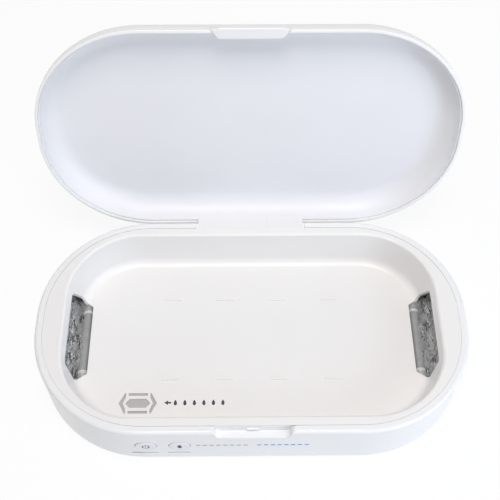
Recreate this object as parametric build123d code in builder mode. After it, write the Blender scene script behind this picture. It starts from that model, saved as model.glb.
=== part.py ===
"""Face mask sterilizer: a shallow tray with an ultraviolet lamp at each end, an aroma port,
two push buttons on the front wall and a hinged domed lid, shown with the lid standing open.

Millimetres. X runs along the case, the front wall faces -Y and +Z is up.
The origin lies on the surface it stands on, under the middle of the case.
"""

from build123d import *
import os
from math import cos, radians, sin, sqrt, tan

os.makedirs("parts", exist_ok=True)

# Case outline
case_length = 225.0
case_depth = 125.0
end_flat = 9.0
rim_z = 32.8
foot_height = 0.8
wall = 2.0
floor_thickness = 1.8
wall_draft = 0.3
base_edge_r = 1.8
rim_edge_r = 1.6
inner_edge_r = 1.5

# Rim ledge that the closed lid rests over, and the seat for the tray inside it
ledge_width = 3.9
seat_width = 2.1
seat_lip = 1.4
flange_thickness = 1.8
flange_clearance = 0.3

# Tray basin
rim_band_ends = 14.5
rim_band_sides = 9.0
basin_end_flat = 31.0
basin_floor_z = 12.3
basin_draft = 12.0
basin_fillet = 5.0
basin_lip_r = 1.4
tray_wall = 1.6

# Mask ribs on the tray floor
rib_length = 9.0
rib_width = 1.1
rib_height = 0.9
rib_pitch = 28.7
rib_row_spacing = 48.0
rib_columns = 4

# Lamp windows, each an elongated hexagon folded over the corner of floor and end wall
window_wall_half_span = 21.0
window_floor_half_span = 20.3
window_tip_half_span = 25.4
window_wall_reach = 11.8
window_floor_reach = 4.7
window_tip_reach = 0.7
window_corner_r = 1.4
window_tip_r = 3.5
window_lean = 45.0
window_cut_depth = 9.0

# Lamps behind the windows
tube_d = 5.0
tube_glass = 0.7
tube_window_inset = 2.9
tube_half_length = 28.2
tube_lift = 2.6
electrode_length = 10.7
electrode_fit = 0.05
tube_grip = 3.8
cap_length = 5.0
cap_width = 6.6
cap_fit = 0.1
cap_edge_r = 0.5
reflector_sheet = 0.3
reflector_bend_r = 1.0
reflector_end_gap = 0.2
reflector_apron_lean = 1.6
reflector_floor_half = 3.6
reflector_knee_x = 9.6
reflector_knee_z = 10.3
reflector_top_x = 11.6
reflector_top_z = 26.9

# Aroma port
port_end_distance = 38.8
port_side_distance = 16.2
port_half_length = 9.85
port_half_width = 5.7
port_shoulder = 6.9
port_slot = 1.5
port_gap_x = 5.65
port_gap = 1.3
port_eye_half_length = 6.5
port_eye_half_width = 2.5
port_eye_shoulder = 4.3
port_web = 0.8
aroma_cup_length = 24.0
aroma_cup_width = 15.0
aroma_cup_r = 2.5
aroma_cup_wall = 1.2
aroma_cup_floor = 1.0
aroma_fit = 0.2
heater_thickness = 0.8
pad_corner_r = 1.8
port_pad_length = 21.2
port_pad_width = 12.2
ring_slant = 1.35
ring_shoulder_share = 0.7

# Finger notch and lid tab at the front
notch_length = 37.0
notch_drop = 6.0
notch_wall = 1.6
notch_top_r = 2.4
notch_bottom_r = 2.8
nub_length = 6.4
nub_height = 1.4
nub_reach = 0.7
nub_drop = 4.0
tab_tip_length = 30.6
tab_shoulder_length = 39.0
tab_root_length = 32.0
tab_reach = 5.2
tab_proud = 1.0
tab_thickness = 3.2
tab_edge_r = 0.7
tab_corner_r = 2.4
tab_fit = 0.1

# Magnet in the lid tab and the steel plate that it finds in the base
magnet_length = 24.0
magnet_width = 2.0
magnet_thickness = 1.8
magnet_cover = 0.7
magnet_setback = 3.5
catch_length = 18.0
catch_width = 2.6
catch_thickness = 0.8
catch_fit = 0.1
catch_setback = 0.8

# Hinge
pivot_drop = 9.5
pivot_setback = 1.3
open_angle = 103.0
knuckle_r = 2.8
pin_r = 1.2
pin_clearance = 0.05
pin_engagement = 4.0
hinge_length = 59.4
hinge_fit = 0.6
hinge_slit = 0.4
hinge_slit_depth = 0.5
hinge_slit_x = 9.2
bearing_web = 1.2
bearing_fit = 0.3
recess_wall = 1.5
recess_floor_gap = 0.6
recess_sill = 1.8
arm_setback = 0.6
arm_lid_rise = 3.4
arm_shell_gap = 0.65
stop_length = 8.0
stop_x = 16.0
stop_reach = 2.6
stop_drop = 3.4
stop_gap = 0.15

# Lid
lid_gap = 0.3
lid_height = 15.2
lid_crown_r = 13.2
lid_wall = 1.5
liner_wall = 0.8
liner_gap = 0.2
liner_recess = 1.2
lid_lip_r = 0.4

# Push buttons
button_end_inset = 1.2
button_pitch = 16.85
button_names = ("power", "aroma")
button_z = 17.4
button_half_length = 5.3
button_half_height = 4.2
button_fit = 0.25
button_proud = 0.5
button_edge_r = 0.45
button_collar = 1.0
button_collar_thickness = 0.8
button_collar_gap = 0.45
button_stem_r = 1.5
button_stem_length = 0.8
button_travel = 0.6

# Switches behind the buttons
plunger_r = 1.75
plunger_fit = 0.08
plunger_length = 1.6
plunger_proud = 0.8
switch_side = 6.0
switch_depth = 2.5
switch_edge = 0.4

# Button board, standing on the case floor between two ribs
button_board_left_margin = 8.7
button_board_right_margin = 17.95
button_board_top = 23.2
board_thickness = 1.0
board_fit = 0.1
board_rib_thickness = 1.6
board_rib_height = 15.5
sensor_end_distance = 3.0
sensor_width = 3.2
sensor_height = 3.0
sensor_depth = 1.3

# Main board, lying under the tray
main_board_length = 100.0
main_board_width = 44.0
main_board_corner_r = 2.0
board_standoff = 1.0
board_boss_r = 3.0
board_hole_inset = 4.0
board_screw_r = 1.0
board_screw_head_r = 2.0
board_screw_head = 1.1
board_screw_bite = 1.4
board_hole_r = 1.15
screw_slot = 0.6
screw_slot_length = 2.4
screw_slot_depth = 0.6
transformer_length = 17.0
transformer_width = 9.0
transformer_height = 3.2
transformer_end_distance = 16.0
transformer_rear_distance = 13.0
transformer_window = 2.2
transformer_window_length = 11.0
transformer_leg = 2.0
winding_fit = 0.1
winding_crown = 0.2
capacitor_r = 2.0
capacitor_height = 3.1
capacitor_edge_r = 0.3
capacitor_pitch = 6.0
capacitor_count = 4
capacitor_rear_distance = 10.0
chip_side = 7.0
chip_front_distance = 16.0
chip_height = 1.0
chip_chamfer = 0.25
small_chip_length = 5.0
small_chip_width = 4.0
small_chip_x = 14.0
header_length = 8.0
header_width = 4.0
header_height = 2.9
header_wall = 0.7
header_depth = 2.0

# Charging inlet on its own board at the rear
inlet_x = -46.0
inlet_board_length = 16.0
inlet_board_width = 10.6
inlet_board_z = 5.0
inlet_post_r = 1.8
inlet_post_pitch = 12.0
inlet_shell_length = 8.94
inlet_shell_height = 3.26
inlet_shell_depth = 7.3
inlet_shell_wall = 0.3
inlet_shell_back = 0.6
inlet_fit = 0.25
inlet_recess = 0.2
inlet_board_overlap = 5.0
tongue_length = 6.7
tongue_thickness = 0.7
tongue_reach = 5.6

# Leads
wire_r = 0.55
wire_pitch = 1.4
wire_bend_r = 4.0
lamp_lead_run = 6.1
lamp_lead_inset = 10.9
lamp_lead_mid = (14.9, 20.0)
lamp_lead_end = 8.1
lamp_header_shift = (-10.0, 2.0)
button_lead_distance = 6.45
button_lead_bend = (9.0, 16.0)
button_header_pitch = 13.2
button_lead_count = 4
heater_lead_bend = (6.0, 10.0)
heater_header_distance = 12.0
inlet_header_shift = 10.0
inlet_lead_run = 3.8
inlet_lead_room = 8.6
inlet_bend_r = 1.6

# Case screws and their posts
screw_r = 1.1
screw_head_r = 2.0
screw_head = 1.6
screw_tip_z = 20.0
screw_clearance = 0.2
counterbore_z = 7.0
boss_r = 3.0
boss_top_z = 10.5
post_r = 2.3
post_joint = 0.1
post_offset = 1.0
post_top_gap = 0.3
corner_post_angle = 28.0
rear_post_x = (-66.0, 52.0)
front_post_end_distance = 17.5
front_post_right = 30.0

# Rubber feet in round pockets of the underside
foot_r = 5.0
foot_fit = 0.15
foot_pocket = 0.6
foot_edge_r = 0.4
foot_end_distance = 34.5
foot_side_distance = 20.5

# Levels and planes worked out from the sizes above
case_corner_r = (case_depth - end_flat) / 2
front_flat_half = case_length / 2 - case_corner_r
basin_length = case_length - 2 * rim_band_ends
basin_depth = case_depth - 2 * rim_band_sides
basin_corner_r = (basin_depth - basin_end_flat) / 2
port_x = -basin_length / 2 + port_end_distance
port_y = -basin_depth / 2 + port_side_distance
foot_x = case_length / 2 - foot_end_distance
foot_y = case_depth / 2 - foot_side_distance
power_button_x = -front_flat_half + button_end_inset
aroma_button_x = power_button_x + button_pitch
button_x = (power_button_x, aroma_button_x)
front_post_x = (-front_flat_half - front_post_end_distance, front_post_right)
underside_z = foot_height
case_floor_z = underside_z + floor_thickness
flange_underside_z = rim_z - flange_thickness
lip_underside_z = flange_underside_z - seat_lip
flange_inset = ledge_width + flange_clearance
tray_underside_z = basin_floor_z - tray_wall
front_y = -case_depth / 2
rear_y = case_depth / 2

pivot_y = rear_y - pivot_setback
pivot_z = rim_z - pivot_drop
hinge_front_y = pivot_y - knuckle_r
recess_front_y = hinge_front_y - hinge_fit / 2
hinge_half = hinge_length / 2
recess_half = hinge_half + hinge_fit
recess_floor_z = pivot_z - knuckle_r - recess_floor_gap
arm_rear_y = rear_y - arm_setback

lid_seat_z = rim_z + lid_gap
lid_lift = lid_seat_z - pivot_z
swing = radians(open_angle)
lid_origin_y = pivot_y - pivot_y * cos(swing) + lid_lift * sin(swing)
lid_origin_z = pivot_z + pivot_y * sin(swing) + lid_lift * cos(swing)
lid_plane = Plane(origin=(0, lid_origin_y, lid_origin_z), x_dir=(1, 0, 0),
                  z_dir=(0, sin(swing), cos(swing)))
lid_section = Plane(origin=lid_plane.origin, x_dir=lid_plane.y_dir, z_dir=lid_plane.x_dir)
lid_up = Axis(lid_plane.origin, lid_plane.z_dir)

BOTTOM = (Align.CENTER, Align.CENTER, Align.MIN)


def wall_setback(z):
    """How far the drafted case wall has moved in below the rim at height z."""
    return (rim_z - z) * tan(radians(wall_draft))


def case_outline(inset):
    """The case's plan outline, moved in by inset."""
    RectangleRounded(case_length - 2 * inset, case_depth - 2 * inset, case_corner_r - inset)


def basin_outline(growth):
    """The basin's plan outline at the flange, moved out by growth."""
    RectangleRounded(basin_length + 2 * growth, basin_depth + 2 * growth, basin_corner_r + growth)


def post_places():
    """Where the case screws stand: just outside the basin, at its corners and long sides."""
    reach = basin_corner_r + post_offset
    corner_x = basin_length / 2 - basin_corner_r + reach * cos(radians(corner_post_angle))
    corner_y = basin_depth / 2 - basin_corner_r + reach * sin(radians(corner_post_angle))
    side_y = basin_depth / 2 + post_offset
    places = [(sx * corner_x, sy * corner_y) for sx in (-1, 1) for sy in (-1, 1)]
    places += [(x, side_y - bend_back(x)) for x in rear_post_x]
    places += [(x, -side_y + bend_back(x)) for x in front_post_x]
    return places


def bend_back(x):
    """How far the basin's corner has curved in from its long side at x."""
    past = max(0.0, abs(x) - (basin_length / 2 - basin_corner_r))
    reach = basin_corner_r + post_offset
    return reach - sqrt(reach**2 - past**2)


# Base housing: outer wall, floor, rim ledge and the seat for the tray
with BuildPart() as case_block:
    with BuildSketch(Plane.XY.offset(rim_z)):
        case_outline(0)
    extrude(amount=underside_z - rim_z, taper=wall_draft)
    fillet(case_block.faces().sort_by(Axis.Z)[0].edges(), base_edge_r)
    fillet(case_block.faces().sort_by(Axis.Z)[-1].edges(), rim_edge_r)

with BuildPart() as case_cavity:
    with BuildSketch(Plane.XY.offset(lip_underside_z)):
        case_outline(wall + wall_setback(lip_underside_z))
    extrude(amount=case_floor_z - lip_underside_z, taper=wall_draft)
    fillet(case_cavity.faces().sort_by(Axis.Z)[0].edges(), inner_edge_r)

notch_floor_z = rim_z - notch_drop
notch_back_y = front_y + flange_inset
button_wall_y = front_y + wall_setback(button_z)
button_inner_y = button_wall_y + wall
collar_front_y = button_inner_y + button_collar_gap
collar_back_y = collar_front_y + button_collar_thickness
stem_end_y = collar_back_y + button_stem_length
switch_front_y = stem_end_y + plunger_proud
switch_back_y = switch_front_y + switch_depth
board_back_y = switch_back_y + board_thickness
inlet_shell_z = inlet_board_z + board_thickness
inlet_z = inlet_shell_z + inlet_shell_height / 2
inlet_face_y = rear_y - wall_setback(inlet_z) - inlet_recess
inlet_board_y = inlet_face_y - inlet_shell_depth + inlet_board_overlap - inlet_board_width / 2
inlet_board_front = inlet_board_y - inlet_board_width / 2
board_rear_y = inlet_board_front - inlet_lead_room
main_board_y = board_rear_y - main_board_width / 2
board_front_y = board_rear_y - main_board_width
button_board_left = power_button_x - button_board_left_margin
button_board_right = aroma_button_x + button_board_right_margin
stop_outer = knuckle_r + stop_gap + stop_reach
arm_rear_offset = arm_rear_y - pivot_y
stop_top_z = pivot_z - arm_rear_offset / sin(swing) + stop_outer / tan(swing) - stop_gap

with BuildPart() as base_housing:
    add(case_block.part)
    add(case_cavity.part, mode=Mode.SUBTRACT)
    # The opening inside the rim, with a step for the tray's flange
    with BuildSketch(Plane.XY.offset(flange_underside_z)):
        case_outline(ledge_width)
    extrude(amount=flange_thickness, mode=Mode.SUBTRACT)
    with BuildSketch(Plane.XY.offset(lip_underside_z)):
        case_outline(ledge_width + seat_width)
    extrude(amount=rim_z - lip_underside_z, mode=Mode.SUBTRACT)
    # Finger notch: a block behind the front wall, then the notch cut into it
    notch_block_depth = ledge_width + seat_width - wall
    with BuildSketch(Plane.XY.offset(notch_floor_z - notch_wall)):
        with Locations((0, front_y + wall + notch_block_depth / 2)):
            Rectangle(notch_length + 2 * notch_wall, notch_block_depth)
    extrude(amount=flange_underside_z - notch_floor_z + notch_wall)
    shoulder_x = notch_length / 2 + notch_top_r
    with BuildSketch(Plane.XZ.offset(-notch_back_y)):
        with BuildLine():
            Line((0, notch_floor_z), (notch_length / 2 - notch_bottom_r, notch_floor_z))
            CenterArc((notch_length / 2 - notch_bottom_r, notch_floor_z + notch_bottom_r),
                      notch_bottom_r, -90, 90)
            Line((notch_length / 2, notch_floor_z + notch_bottom_r), (notch_length / 2, rim_z - notch_top_r))
            CenterArc((shoulder_x, rim_z - notch_top_r), notch_top_r, 180, -90)
            Polyline((shoulder_x, rim_z), (shoulder_x, rim_z + notch_drop), (0, rim_z + notch_drop))
            mirror(about=Plane.YZ)
        make_face()
    extrude(amount=2 * flange_inset, mode=Mode.SUBTRACT)
    with BuildSketch(Plane.XZ.offset(-notch_back_y)):
        with Locations((0, rim_z - nub_drop)):
            SlotOverall(nub_length, nub_height)
    extrude(amount=nub_reach)
    # Hinge recess: its back wall and sill, with a boss at each end for the pin
    recess_wall_y = recess_front_y - recess_wall
    recess_block_depth = rear_y - wall_setback(recess_floor_z) - wall / 2 - recess_wall_y
    with BuildSketch(Plane.XY.offset(recess_floor_z - recess_sill)):
        with Locations((0, recess_wall_y + recess_block_depth / 2)):
            Rectangle(2 * (recess_half + recess_wall), recess_block_depth)
    extrude(amount=flange_underside_z - recess_floor_z + recess_sill)
    with BuildSketch(Plane.YZ.offset(-recess_half - pin_engagement - recess_wall)):
        with Locations((pivot_y, pivot_z)):
            Circle(knuckle_r)
    extrude(amount=2 * (recess_half + pin_engagement + recess_wall))
    # Lugs on the rear wall under the open lid's arm
    stop_depth = pivot_y + stop_outer - (rear_y - wall)
    with BuildSketch(Plane.XY.offset(recess_floor_z - stop_drop)):
        with Locations((-stop_x, rear_y - wall + stop_depth / 2), (stop_x, rear_y - wall + stop_depth / 2)):
            Rectangle(stop_length, stop_depth)
    extrude(amount=stop_drop)
    with BuildSketch(Plane.XY.offset(recess_floor_z)):
        with Locations((0, recess_front_y + case_depth / 2)):
            Rectangle(2 * recess_half, case_depth)
    extrude(amount=case_depth, mode=Mode.SUBTRACT)
    toe_y = pivot_y + stop_outer - stop_reach / 2
    with BuildSketch(Plane.XY.offset(recess_floor_z)):
        with Locations((-stop_x, toe_y), (stop_x, toe_y)):
            Rectangle(stop_length, stop_reach)
    extrude(amount=stop_top_z - recess_floor_z)
    # Bearing web that carries the middle of the pin
    with BuildSketch(Plane.YZ.offset(hinge_slit_x - bearing_web / 2)):
        with Locations((pivot_y, pivot_z)):
            Circle(knuckle_r)
        with Locations((pivot_y, pivot_z - (knuckle_r + recess_floor_gap) / 2)):
            Rectangle(knuckle_r, knuckle_r + recess_floor_gap)
    extrude(amount=bearing_web)
    with Locations(Location((0, pivot_y, pivot_z), (0, 90, 0))):
        Cylinder(pin_r, 2 * (recess_half + pin_engagement), mode=Mode.SUBTRACT)
    # Screw bosses with counterbores from below
    for place in post_places():
        with Locations((*place, case_floor_z)):
            Cylinder(boss_r, boss_top_z - case_floor_z, align=BOTTOM)
        with Locations((*place, underside_z)):
            Cylinder(screw_head_r + screw_clearance, counterbore_z - underside_z,
                     align=BOTTOM, mode=Mode.SUBTRACT)
            Cylinder(screw_r + screw_clearance, boss_top_z - underside_z,
                     align=BOTTOM, mode=Mode.SUBTRACT)
    # Bosses under the main board and posts under the inlet board
    with BuildSketch(Plane.XY.offset(case_floor_z)):
        with Locations((0, main_board_y)):
            with GridLocations(main_board_length - 2 * board_hole_inset,
                               main_board_width - 2 * board_hole_inset, 2, 2):
                Circle(board_boss_r)
    extrude(amount=board_standoff)
    with BuildSketch(Plane.XY.offset(case_floor_z - board_screw_bite)):
        with Locations((0, main_board_y)):
            with GridLocations(main_board_length - 2 * board_hole_inset,
                               main_board_width - 2 * board_hole_inset, 2, 2):
                Circle(board_screw_r)
    extrude(amount=board_screw_bite + board_standoff, mode=Mode.SUBTRACT)
    with BuildSketch(Plane.XY.offset(case_floor_z)):
        with Locations((inlet_x, inlet_board_y)):
            with GridLocations(inlet_post_pitch, 0, 2, 1):
                Circle(inlet_post_r)
    extrude(amount=inlet_board_z - case_floor_z)
    # Ribs that hold the button board upright
    rib_front = button_inner_y - wall / 2
    with BuildSketch(Plane.XY.offset(case_floor_z)):
        for rib_x in (button_board_left - board_fit - board_rib_thickness / 2,
                      button_board_right + board_fit + board_rib_thickness / 2):
            with Locations((rib_x, (rib_front + board_back_y) / 2)):
                Rectangle(board_rib_thickness, board_back_y - rib_front)
    extrude(amount=board_rib_height)
    # Button holes, inlet hole and foot pockets
    with BuildSketch(Plane.XZ.offset(-front_y)):
        for x in button_x:
            with Locations((x, button_z)):
                Ellipse(button_half_length + button_fit, button_half_height + button_fit)
    extrude(amount=-(wall + wall_setback(0)) - button_fit, mode=Mode.SUBTRACT)
    with BuildSketch(Plane.XZ.offset(-rear_y)):
        with Locations((inlet_x, inlet_z)):
            SlotOverall(inlet_shell_length + 2 * inlet_fit, inlet_shell_height + 2 * inlet_fit)
    extrude(amount=wall + wall_setback(0) + inlet_fit, mode=Mode.SUBTRACT)
    with BuildSketch(Plane.XY.offset(underside_z)):
        with GridLocations(2 * foot_x, 2 * foot_y, 2, 2):
            Circle(foot_r + foot_fit)
    extrude(amount=foot_pocket, mode=Mode.SUBTRACT)
base_housing.part.label = "base_housing"
export_step(base_housing.part, "parts/base_housing.step")

# Inner tray: basin and flange in one moulding
with BuildPart() as basin_hollow:
    with BuildSketch(Plane.XY.offset(rim_z)):
        basin_outline(0)
    extrude(amount=basin_floor_z - rim_z, taper=basin_draft)
    fillet(basin_hollow.faces().sort_by(Axis.Z)[0].edges(), basin_fillet)

basin_depth_z = rim_z - basin_floor_z
fold_x = basin_length / 2 - basin_depth_z * tan(radians(basin_draft))
lean = radians(window_lean)
window_floor_x = fold_x - window_floor_reach / cos(lean)
window_tip_x = fold_x + window_tip_reach / cos(lean)

with BuildPart() as inner_tray:
    with BuildSketch(Plane.XY.offset(rim_z)):
        basin_outline(tray_wall / cos(radians(basin_draft)))
    extrude(amount=tray_underside_z - rim_z, taper=basin_draft)
    fillet(inner_tray.faces().sort_by(Axis.Z)[0].edges(), basin_fillet + tray_wall)
    with BuildSketch(Plane.XY.offset(flange_underside_z)):
        case_outline(flange_inset)
    extrude(amount=flange_thickness)
    for place in post_places():
        with Locations((*place, boss_top_z + post_joint)):
            Cylinder(post_r, lip_underside_z - post_top_gap - boss_top_z - post_joint, align=BOTTOM)
    add(basin_hollow.part, mode=Mode.SUBTRACT)
    fillet(inner_tray.faces().filter_by(Axis.Z).sort_by(Axis.Z)[-1].inner_wires()[0].edges(), basin_lip_r)
    for place in post_places():
        with Locations((*place, boss_top_z)):
            Cylinder(screw_r, screw_tip_z - boss_top_z + screw_clearance, align=BOTTOM,
                     mode=Mode.SUBTRACT)
    # A lamp window across the corner of floor and wall at each end
    for side in (-1, 1):
        window_plane = Plane(origin=(side * fold_x, 0, basin_floor_z), x_dir=(0, side, 0),
                             z_dir=(side * sin(lean), 0, -cos(lean)))
        with BuildSketch(window_plane) as window:
            with BuildLine():
                Polyline((-window_floor_half_span, -window_floor_reach),
                         (window_floor_half_span, -window_floor_reach),
                         (window_tip_half_span, window_tip_reach),
                         (window_wall_half_span, window_wall_reach),
                         (-window_wall_half_span, window_wall_reach),
                         (-window_tip_half_span, window_tip_reach), close=True)
            make_face()
            ends = window.vertices().group_by(Axis.X)
            fillet(ends[0] + ends[-1], window_tip_r)
            sides = window.vertices().group_by(Axis.Y)
            fillet(sides[0] + sides[-1], window_corner_r)
        extrude(amount=window_cut_depth, both=True, mode=Mode.SUBTRACT)
        # The part of the window that lies in the floor goes straight down
        with BuildSketch(Plane.XY.offset(tray_underside_z)) as floor_window:
            Polygon((side * window_floor_x, -window_floor_half_span),
                    (side * window_tip_x, -window_tip_half_span),
                    (side * window_tip_x, window_tip_half_span),
                    (side * window_floor_x, window_floor_half_span), align=None)
            ends = floor_window.vertices().group_by(Axis.Y)
            fillet(ends[0] + ends[-1], window_tip_r)
            fillet(floor_window.vertices().sort_by(Axis.X, reverse=side < 0)[:2], window_corner_r)
        extrude(amount=tray_wall, mode=Mode.SUBTRACT)
    # Ribs that keep the mask off the floor
    with BuildSketch(Plane.XY.offset(basin_floor_z)):
        with GridLocations(rib_pitch, rib_row_spacing, rib_columns, 2):
            SlotOverall(rib_length, rib_width)
    extrude(amount=rib_height)
    # Aroma port: a thinned patch of floor with an eye, two bars and two chevrons
    with BuildSketch(Plane.XY.offset(tray_underside_z)):
        with Locations((port_x, port_y)):
            RectangleRounded(port_pad_length, port_pad_width, pad_corner_r)
    extrude(amount=tray_wall - port_web, mode=Mode.SUBTRACT)
    with BuildSketch(Plane.XY.offset(tray_underside_z)):
        with Locations((port_x, port_y)):
            Polygon((port_half_length, 0), (port_shoulder, port_half_width),
                    (-port_shoulder, port_half_width), (-port_half_length, 0),
                    (-port_shoulder, -port_half_width), (port_shoulder, -port_half_width),
                    align=None)
            ring_half_length = port_half_length - port_slot * ring_slant
            ring_half_width = port_half_width - port_slot
            ring_shoulder = port_shoulder - port_slot * ring_shoulder_share
            Polygon((ring_half_length, 0), (ring_shoulder, ring_half_width),
                    (-ring_shoulder, ring_half_width), (-ring_half_length, 0),
                    (-ring_shoulder, -ring_half_width), (ring_shoulder, -ring_half_width),
                    align=None, mode=Mode.SUBTRACT)
        with Locations((port_x - port_gap_x, port_y), (port_x + port_gap_x, port_y)):
            Rectangle(port_gap, 2 * port_half_width, mode=Mode.SUBTRACT)
        with Locations((port_x, port_y)):
            Polygon((port_eye_half_length, 0), (port_eye_shoulder, port_eye_half_width),
                    (-port_eye_shoulder, port_eye_half_width), (-port_eye_half_length, 0),
                    (-port_eye_shoulder, -port_eye_half_width), (port_eye_shoulder, -port_eye_half_width),
                    align=None)
    extrude(amount=tray_wall, mode=Mode.SUBTRACT)
    # Pocket for the catch plate under the front of the flange
    catch_y = notch_back_y + catch_fit + catch_width / 2 + catch_setback
    with BuildSketch(Plane.XY.offset(flange_underside_z)):
        with Locations((0, catch_y)):
            Rectangle(catch_length + 2 * catch_fit, catch_width + 2 * catch_fit)
    extrude(amount=catch_thickness + catch_fit, mode=Mode.SUBTRACT)
inner_tray.part.label = "inner_tray"
export_step(inner_tray.part, "parts/inner_tray.step")

# Lamps: reflector, glass tube, electrodes, end caps and leads at each end
tube_r = tube_d / 2
tube_x = window_floor_x + tube_window_inset
tube_z = case_floor_z + reflector_sheet + tube_lift + tube_r
cap_start = tube_half_length - tube_grip
reflector_half_length = cap_start - reflector_end_gap
board_top_z = case_floor_z + board_standoff + board_thickness
header_z = board_top_z + header_height / 2
header_face_x = main_board_length / 2 - board_fit
lamp_header_y = [main_board_y + shift for shift in lamp_header_shift]
lamp_lead_x = tube_x - lamp_lead_inset
lamp_lead_mid_x = tube_x - lamp_lead_mid[0]
lamp_lead_end_x = header_face_x + lamp_lead_end
transformer_x = main_board_length / 2 - transformer_end_distance
transformer_y = board_rear_y - transformer_rear_distance
capacitor_y = board_rear_y - capacitor_rear_distance
chip_y = board_front_y + chip_front_distance
heater_header_x = -main_board_length / 2 + heater_header_distance
button_lead_x = aroma_button_x + button_lead_distance
button_header_x = heater_header_x + button_header_pitch
inlet_header_x = inlet_x + inlet_header_shift


def wire(points, bend_r):
    """One round wire along straight runs joined by arcs."""
    with BuildPart() as lead:
        with BuildLine() as route:
            FilletPolyline(*points, radius=bend_r)
        with BuildSketch(Plane(origin=route.line @ 0, z_dir=route.line % 0)):
            Circle(wire_r)
        sweep()
    return lead.part


for side, side_name in ((-1, "left"), (1, "right")):
    with BuildPart() as reflector:
        with BuildSketch(Plane.XZ):
            with BuildLine():
                sheet = FilletPolyline(
                    (side * (tube_x - reflector_floor_half - reflector_apron_lean),
                     tray_underside_z - reflector_sheet),
                    (side * (tube_x - reflector_floor_half), case_floor_z),
                    (side * (tube_x + reflector_floor_half), case_floor_z),
                    (side * (tube_x + reflector_knee_x), reflector_knee_z),
                    (side * (tube_x + reflector_top_x), reflector_top_z),
                    radius=reflector_bend_r)
                offset(sheet, amount=reflector_sheet, side=Side.LEFT if side > 0 else Side.RIGHT)
            make_face()
        extrude(amount=reflector_half_length, both=True)
    reflector.part.label = f"reflector_{side_name}"
    export_step(reflector.part, f"parts/reflector_{side_name}.step")

    with BuildPart() as uv_tube:
        with BuildSketch(Plane.XZ.offset(-tube_half_length)):
            with Locations((side * tube_x, tube_z)):
                Circle(tube_r)
                Circle(tube_r - tube_glass, mode=Mode.SUBTRACT)
        extrude(amount=2 * tube_half_length)
    uv_tube.part.label = f"uv_tube_{side_name}"
    export_step(uv_tube.part, f"parts/uv_tube_{side_name}.step")

    with BuildPart() as electrodes:
        for end in (-1, 1):
            electrode_start = end * (tube_half_length - electrode_length)
            with BuildSketch(Plane.XZ.offset(-electrode_start)):
                with Locations((side * tube_x, tube_z)):
                    Circle(tube_r - tube_glass - electrode_fit)
            extrude(amount=-end * electrode_length)
    electrodes.part.label = f"electrodes_{side_name}"
    export_step(electrodes.part, f"parts/electrodes_{side_name}.step")

    with BuildPart() as lamp_caps:
        for end in (-1, 1):
            with BuildSketch(Plane.XZ.offset(-end * cap_start)):
                cap_height = tray_underside_z - cap_fit - case_floor_z
                with Locations((side * tube_x, case_floor_z + cap_height / 2)):
                    RectangleRounded(cap_width, cap_height, cap_edge_r)
            extrude(amount=-end * cap_length)
            with BuildSketch(Plane.XZ.offset(-end * cap_start)):
                with Locations((side * tube_x, tube_z)):
                    Circle(tube_r)
            extrude(amount=-end * tube_grip, mode=Mode.SUBTRACT)
    lamp_caps.part.label = f"lamp_caps_{side_name}"
    export_step(lamp_caps.part, f"parts/lamp_caps_{side_name}.step")

    with BuildPart() as lamp_leads:
        for end, header_y in zip((-1, 1), lamp_header_y):
            cap_end = end * (cap_start + cap_length)
            turn_y = cap_end + end * lamp_lead_run
            add(wire([(side * tube_x, cap_end, tube_z), (side * tube_x, turn_y, tube_z),
                      (side * lamp_lead_x, turn_y, tube_z),
                      (side * lamp_lead_mid_x, end * lamp_lead_mid[1], tube_z),
                      (side * lamp_lead_end_x, header_y, header_z),
                      (side * header_face_x, header_y, header_z)], wire_bend_r))
    lamp_leads.part.label = f"lamp_leads_{side_name}"
    export_step(lamp_leads.part, f"parts/lamp_leads_{side_name}.step")

# Main board and what is soldered to it
with BuildPart() as main_board:
    with BuildSketch(Plane.XY.offset(case_floor_z + board_standoff)):
        with Locations((0, main_board_y)):
            RectangleRounded(main_board_length, main_board_width, main_board_corner_r)
            with GridLocations(main_board_length - 2 * board_hole_inset,
                               main_board_width - 2 * board_hole_inset, 2, 2):
                Circle(board_hole_r, mode=Mode.SUBTRACT)
    extrude(amount=board_thickness)
main_board.part.label = "main_board"
export_step(main_board.part, "parts/main_board.step")

with BuildPart() as transformer_cores:
    with BuildSketch(Plane.XY.offset(board_top_z)):
        with Locations((-transformer_x, transformer_y), (transformer_x, transformer_y)):
            Rectangle(transformer_length, transformer_width)
            with GridLocations(0, transformer_leg + transformer_window, 1, 2):
                Rectangle(transformer_window_length, transformer_window, mode=Mode.SUBTRACT)
    extrude(amount=transformer_height)
transformer_cores.part.label = "transformer_cores"
export_step(transformer_cores.part, "parts/transformer_cores.step")

with BuildPart() as transformer_windings:
    with BuildSketch(Plane.XY.offset(board_top_z)):
        with Locations((-transformer_x, transformer_y), (transformer_x, transformer_y)):
            with GridLocations(0, transformer_leg + transformer_window, 1, 2):
                Rectangle(transformer_window_length - 2 * winding_fit, transformer_window - 2 * winding_fit)
    extrude(amount=transformer_height + winding_crown)
transformer_windings.part.label = "transformer_windings"
export_step(transformer_windings.part, "parts/transformer_windings.step")

with BuildPart() as board_capacitors:
    with BuildSketch(Plane.XY.offset(board_top_z)):
        with Locations((0, capacitor_y)):
            with GridLocations(capacitor_pitch, 0, capacitor_count, 1):
                Circle(capacitor_r)
    extrude(amount=capacitor_height)
    fillet(board_capacitors.faces().filter_by(Axis.Z).group_by(Axis.Z)[-1].edges(), capacitor_edge_r)
board_capacitors.part.label = "board_capacitors"
export_step(board_capacitors.part, "parts/board_capacitors.step")

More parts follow.
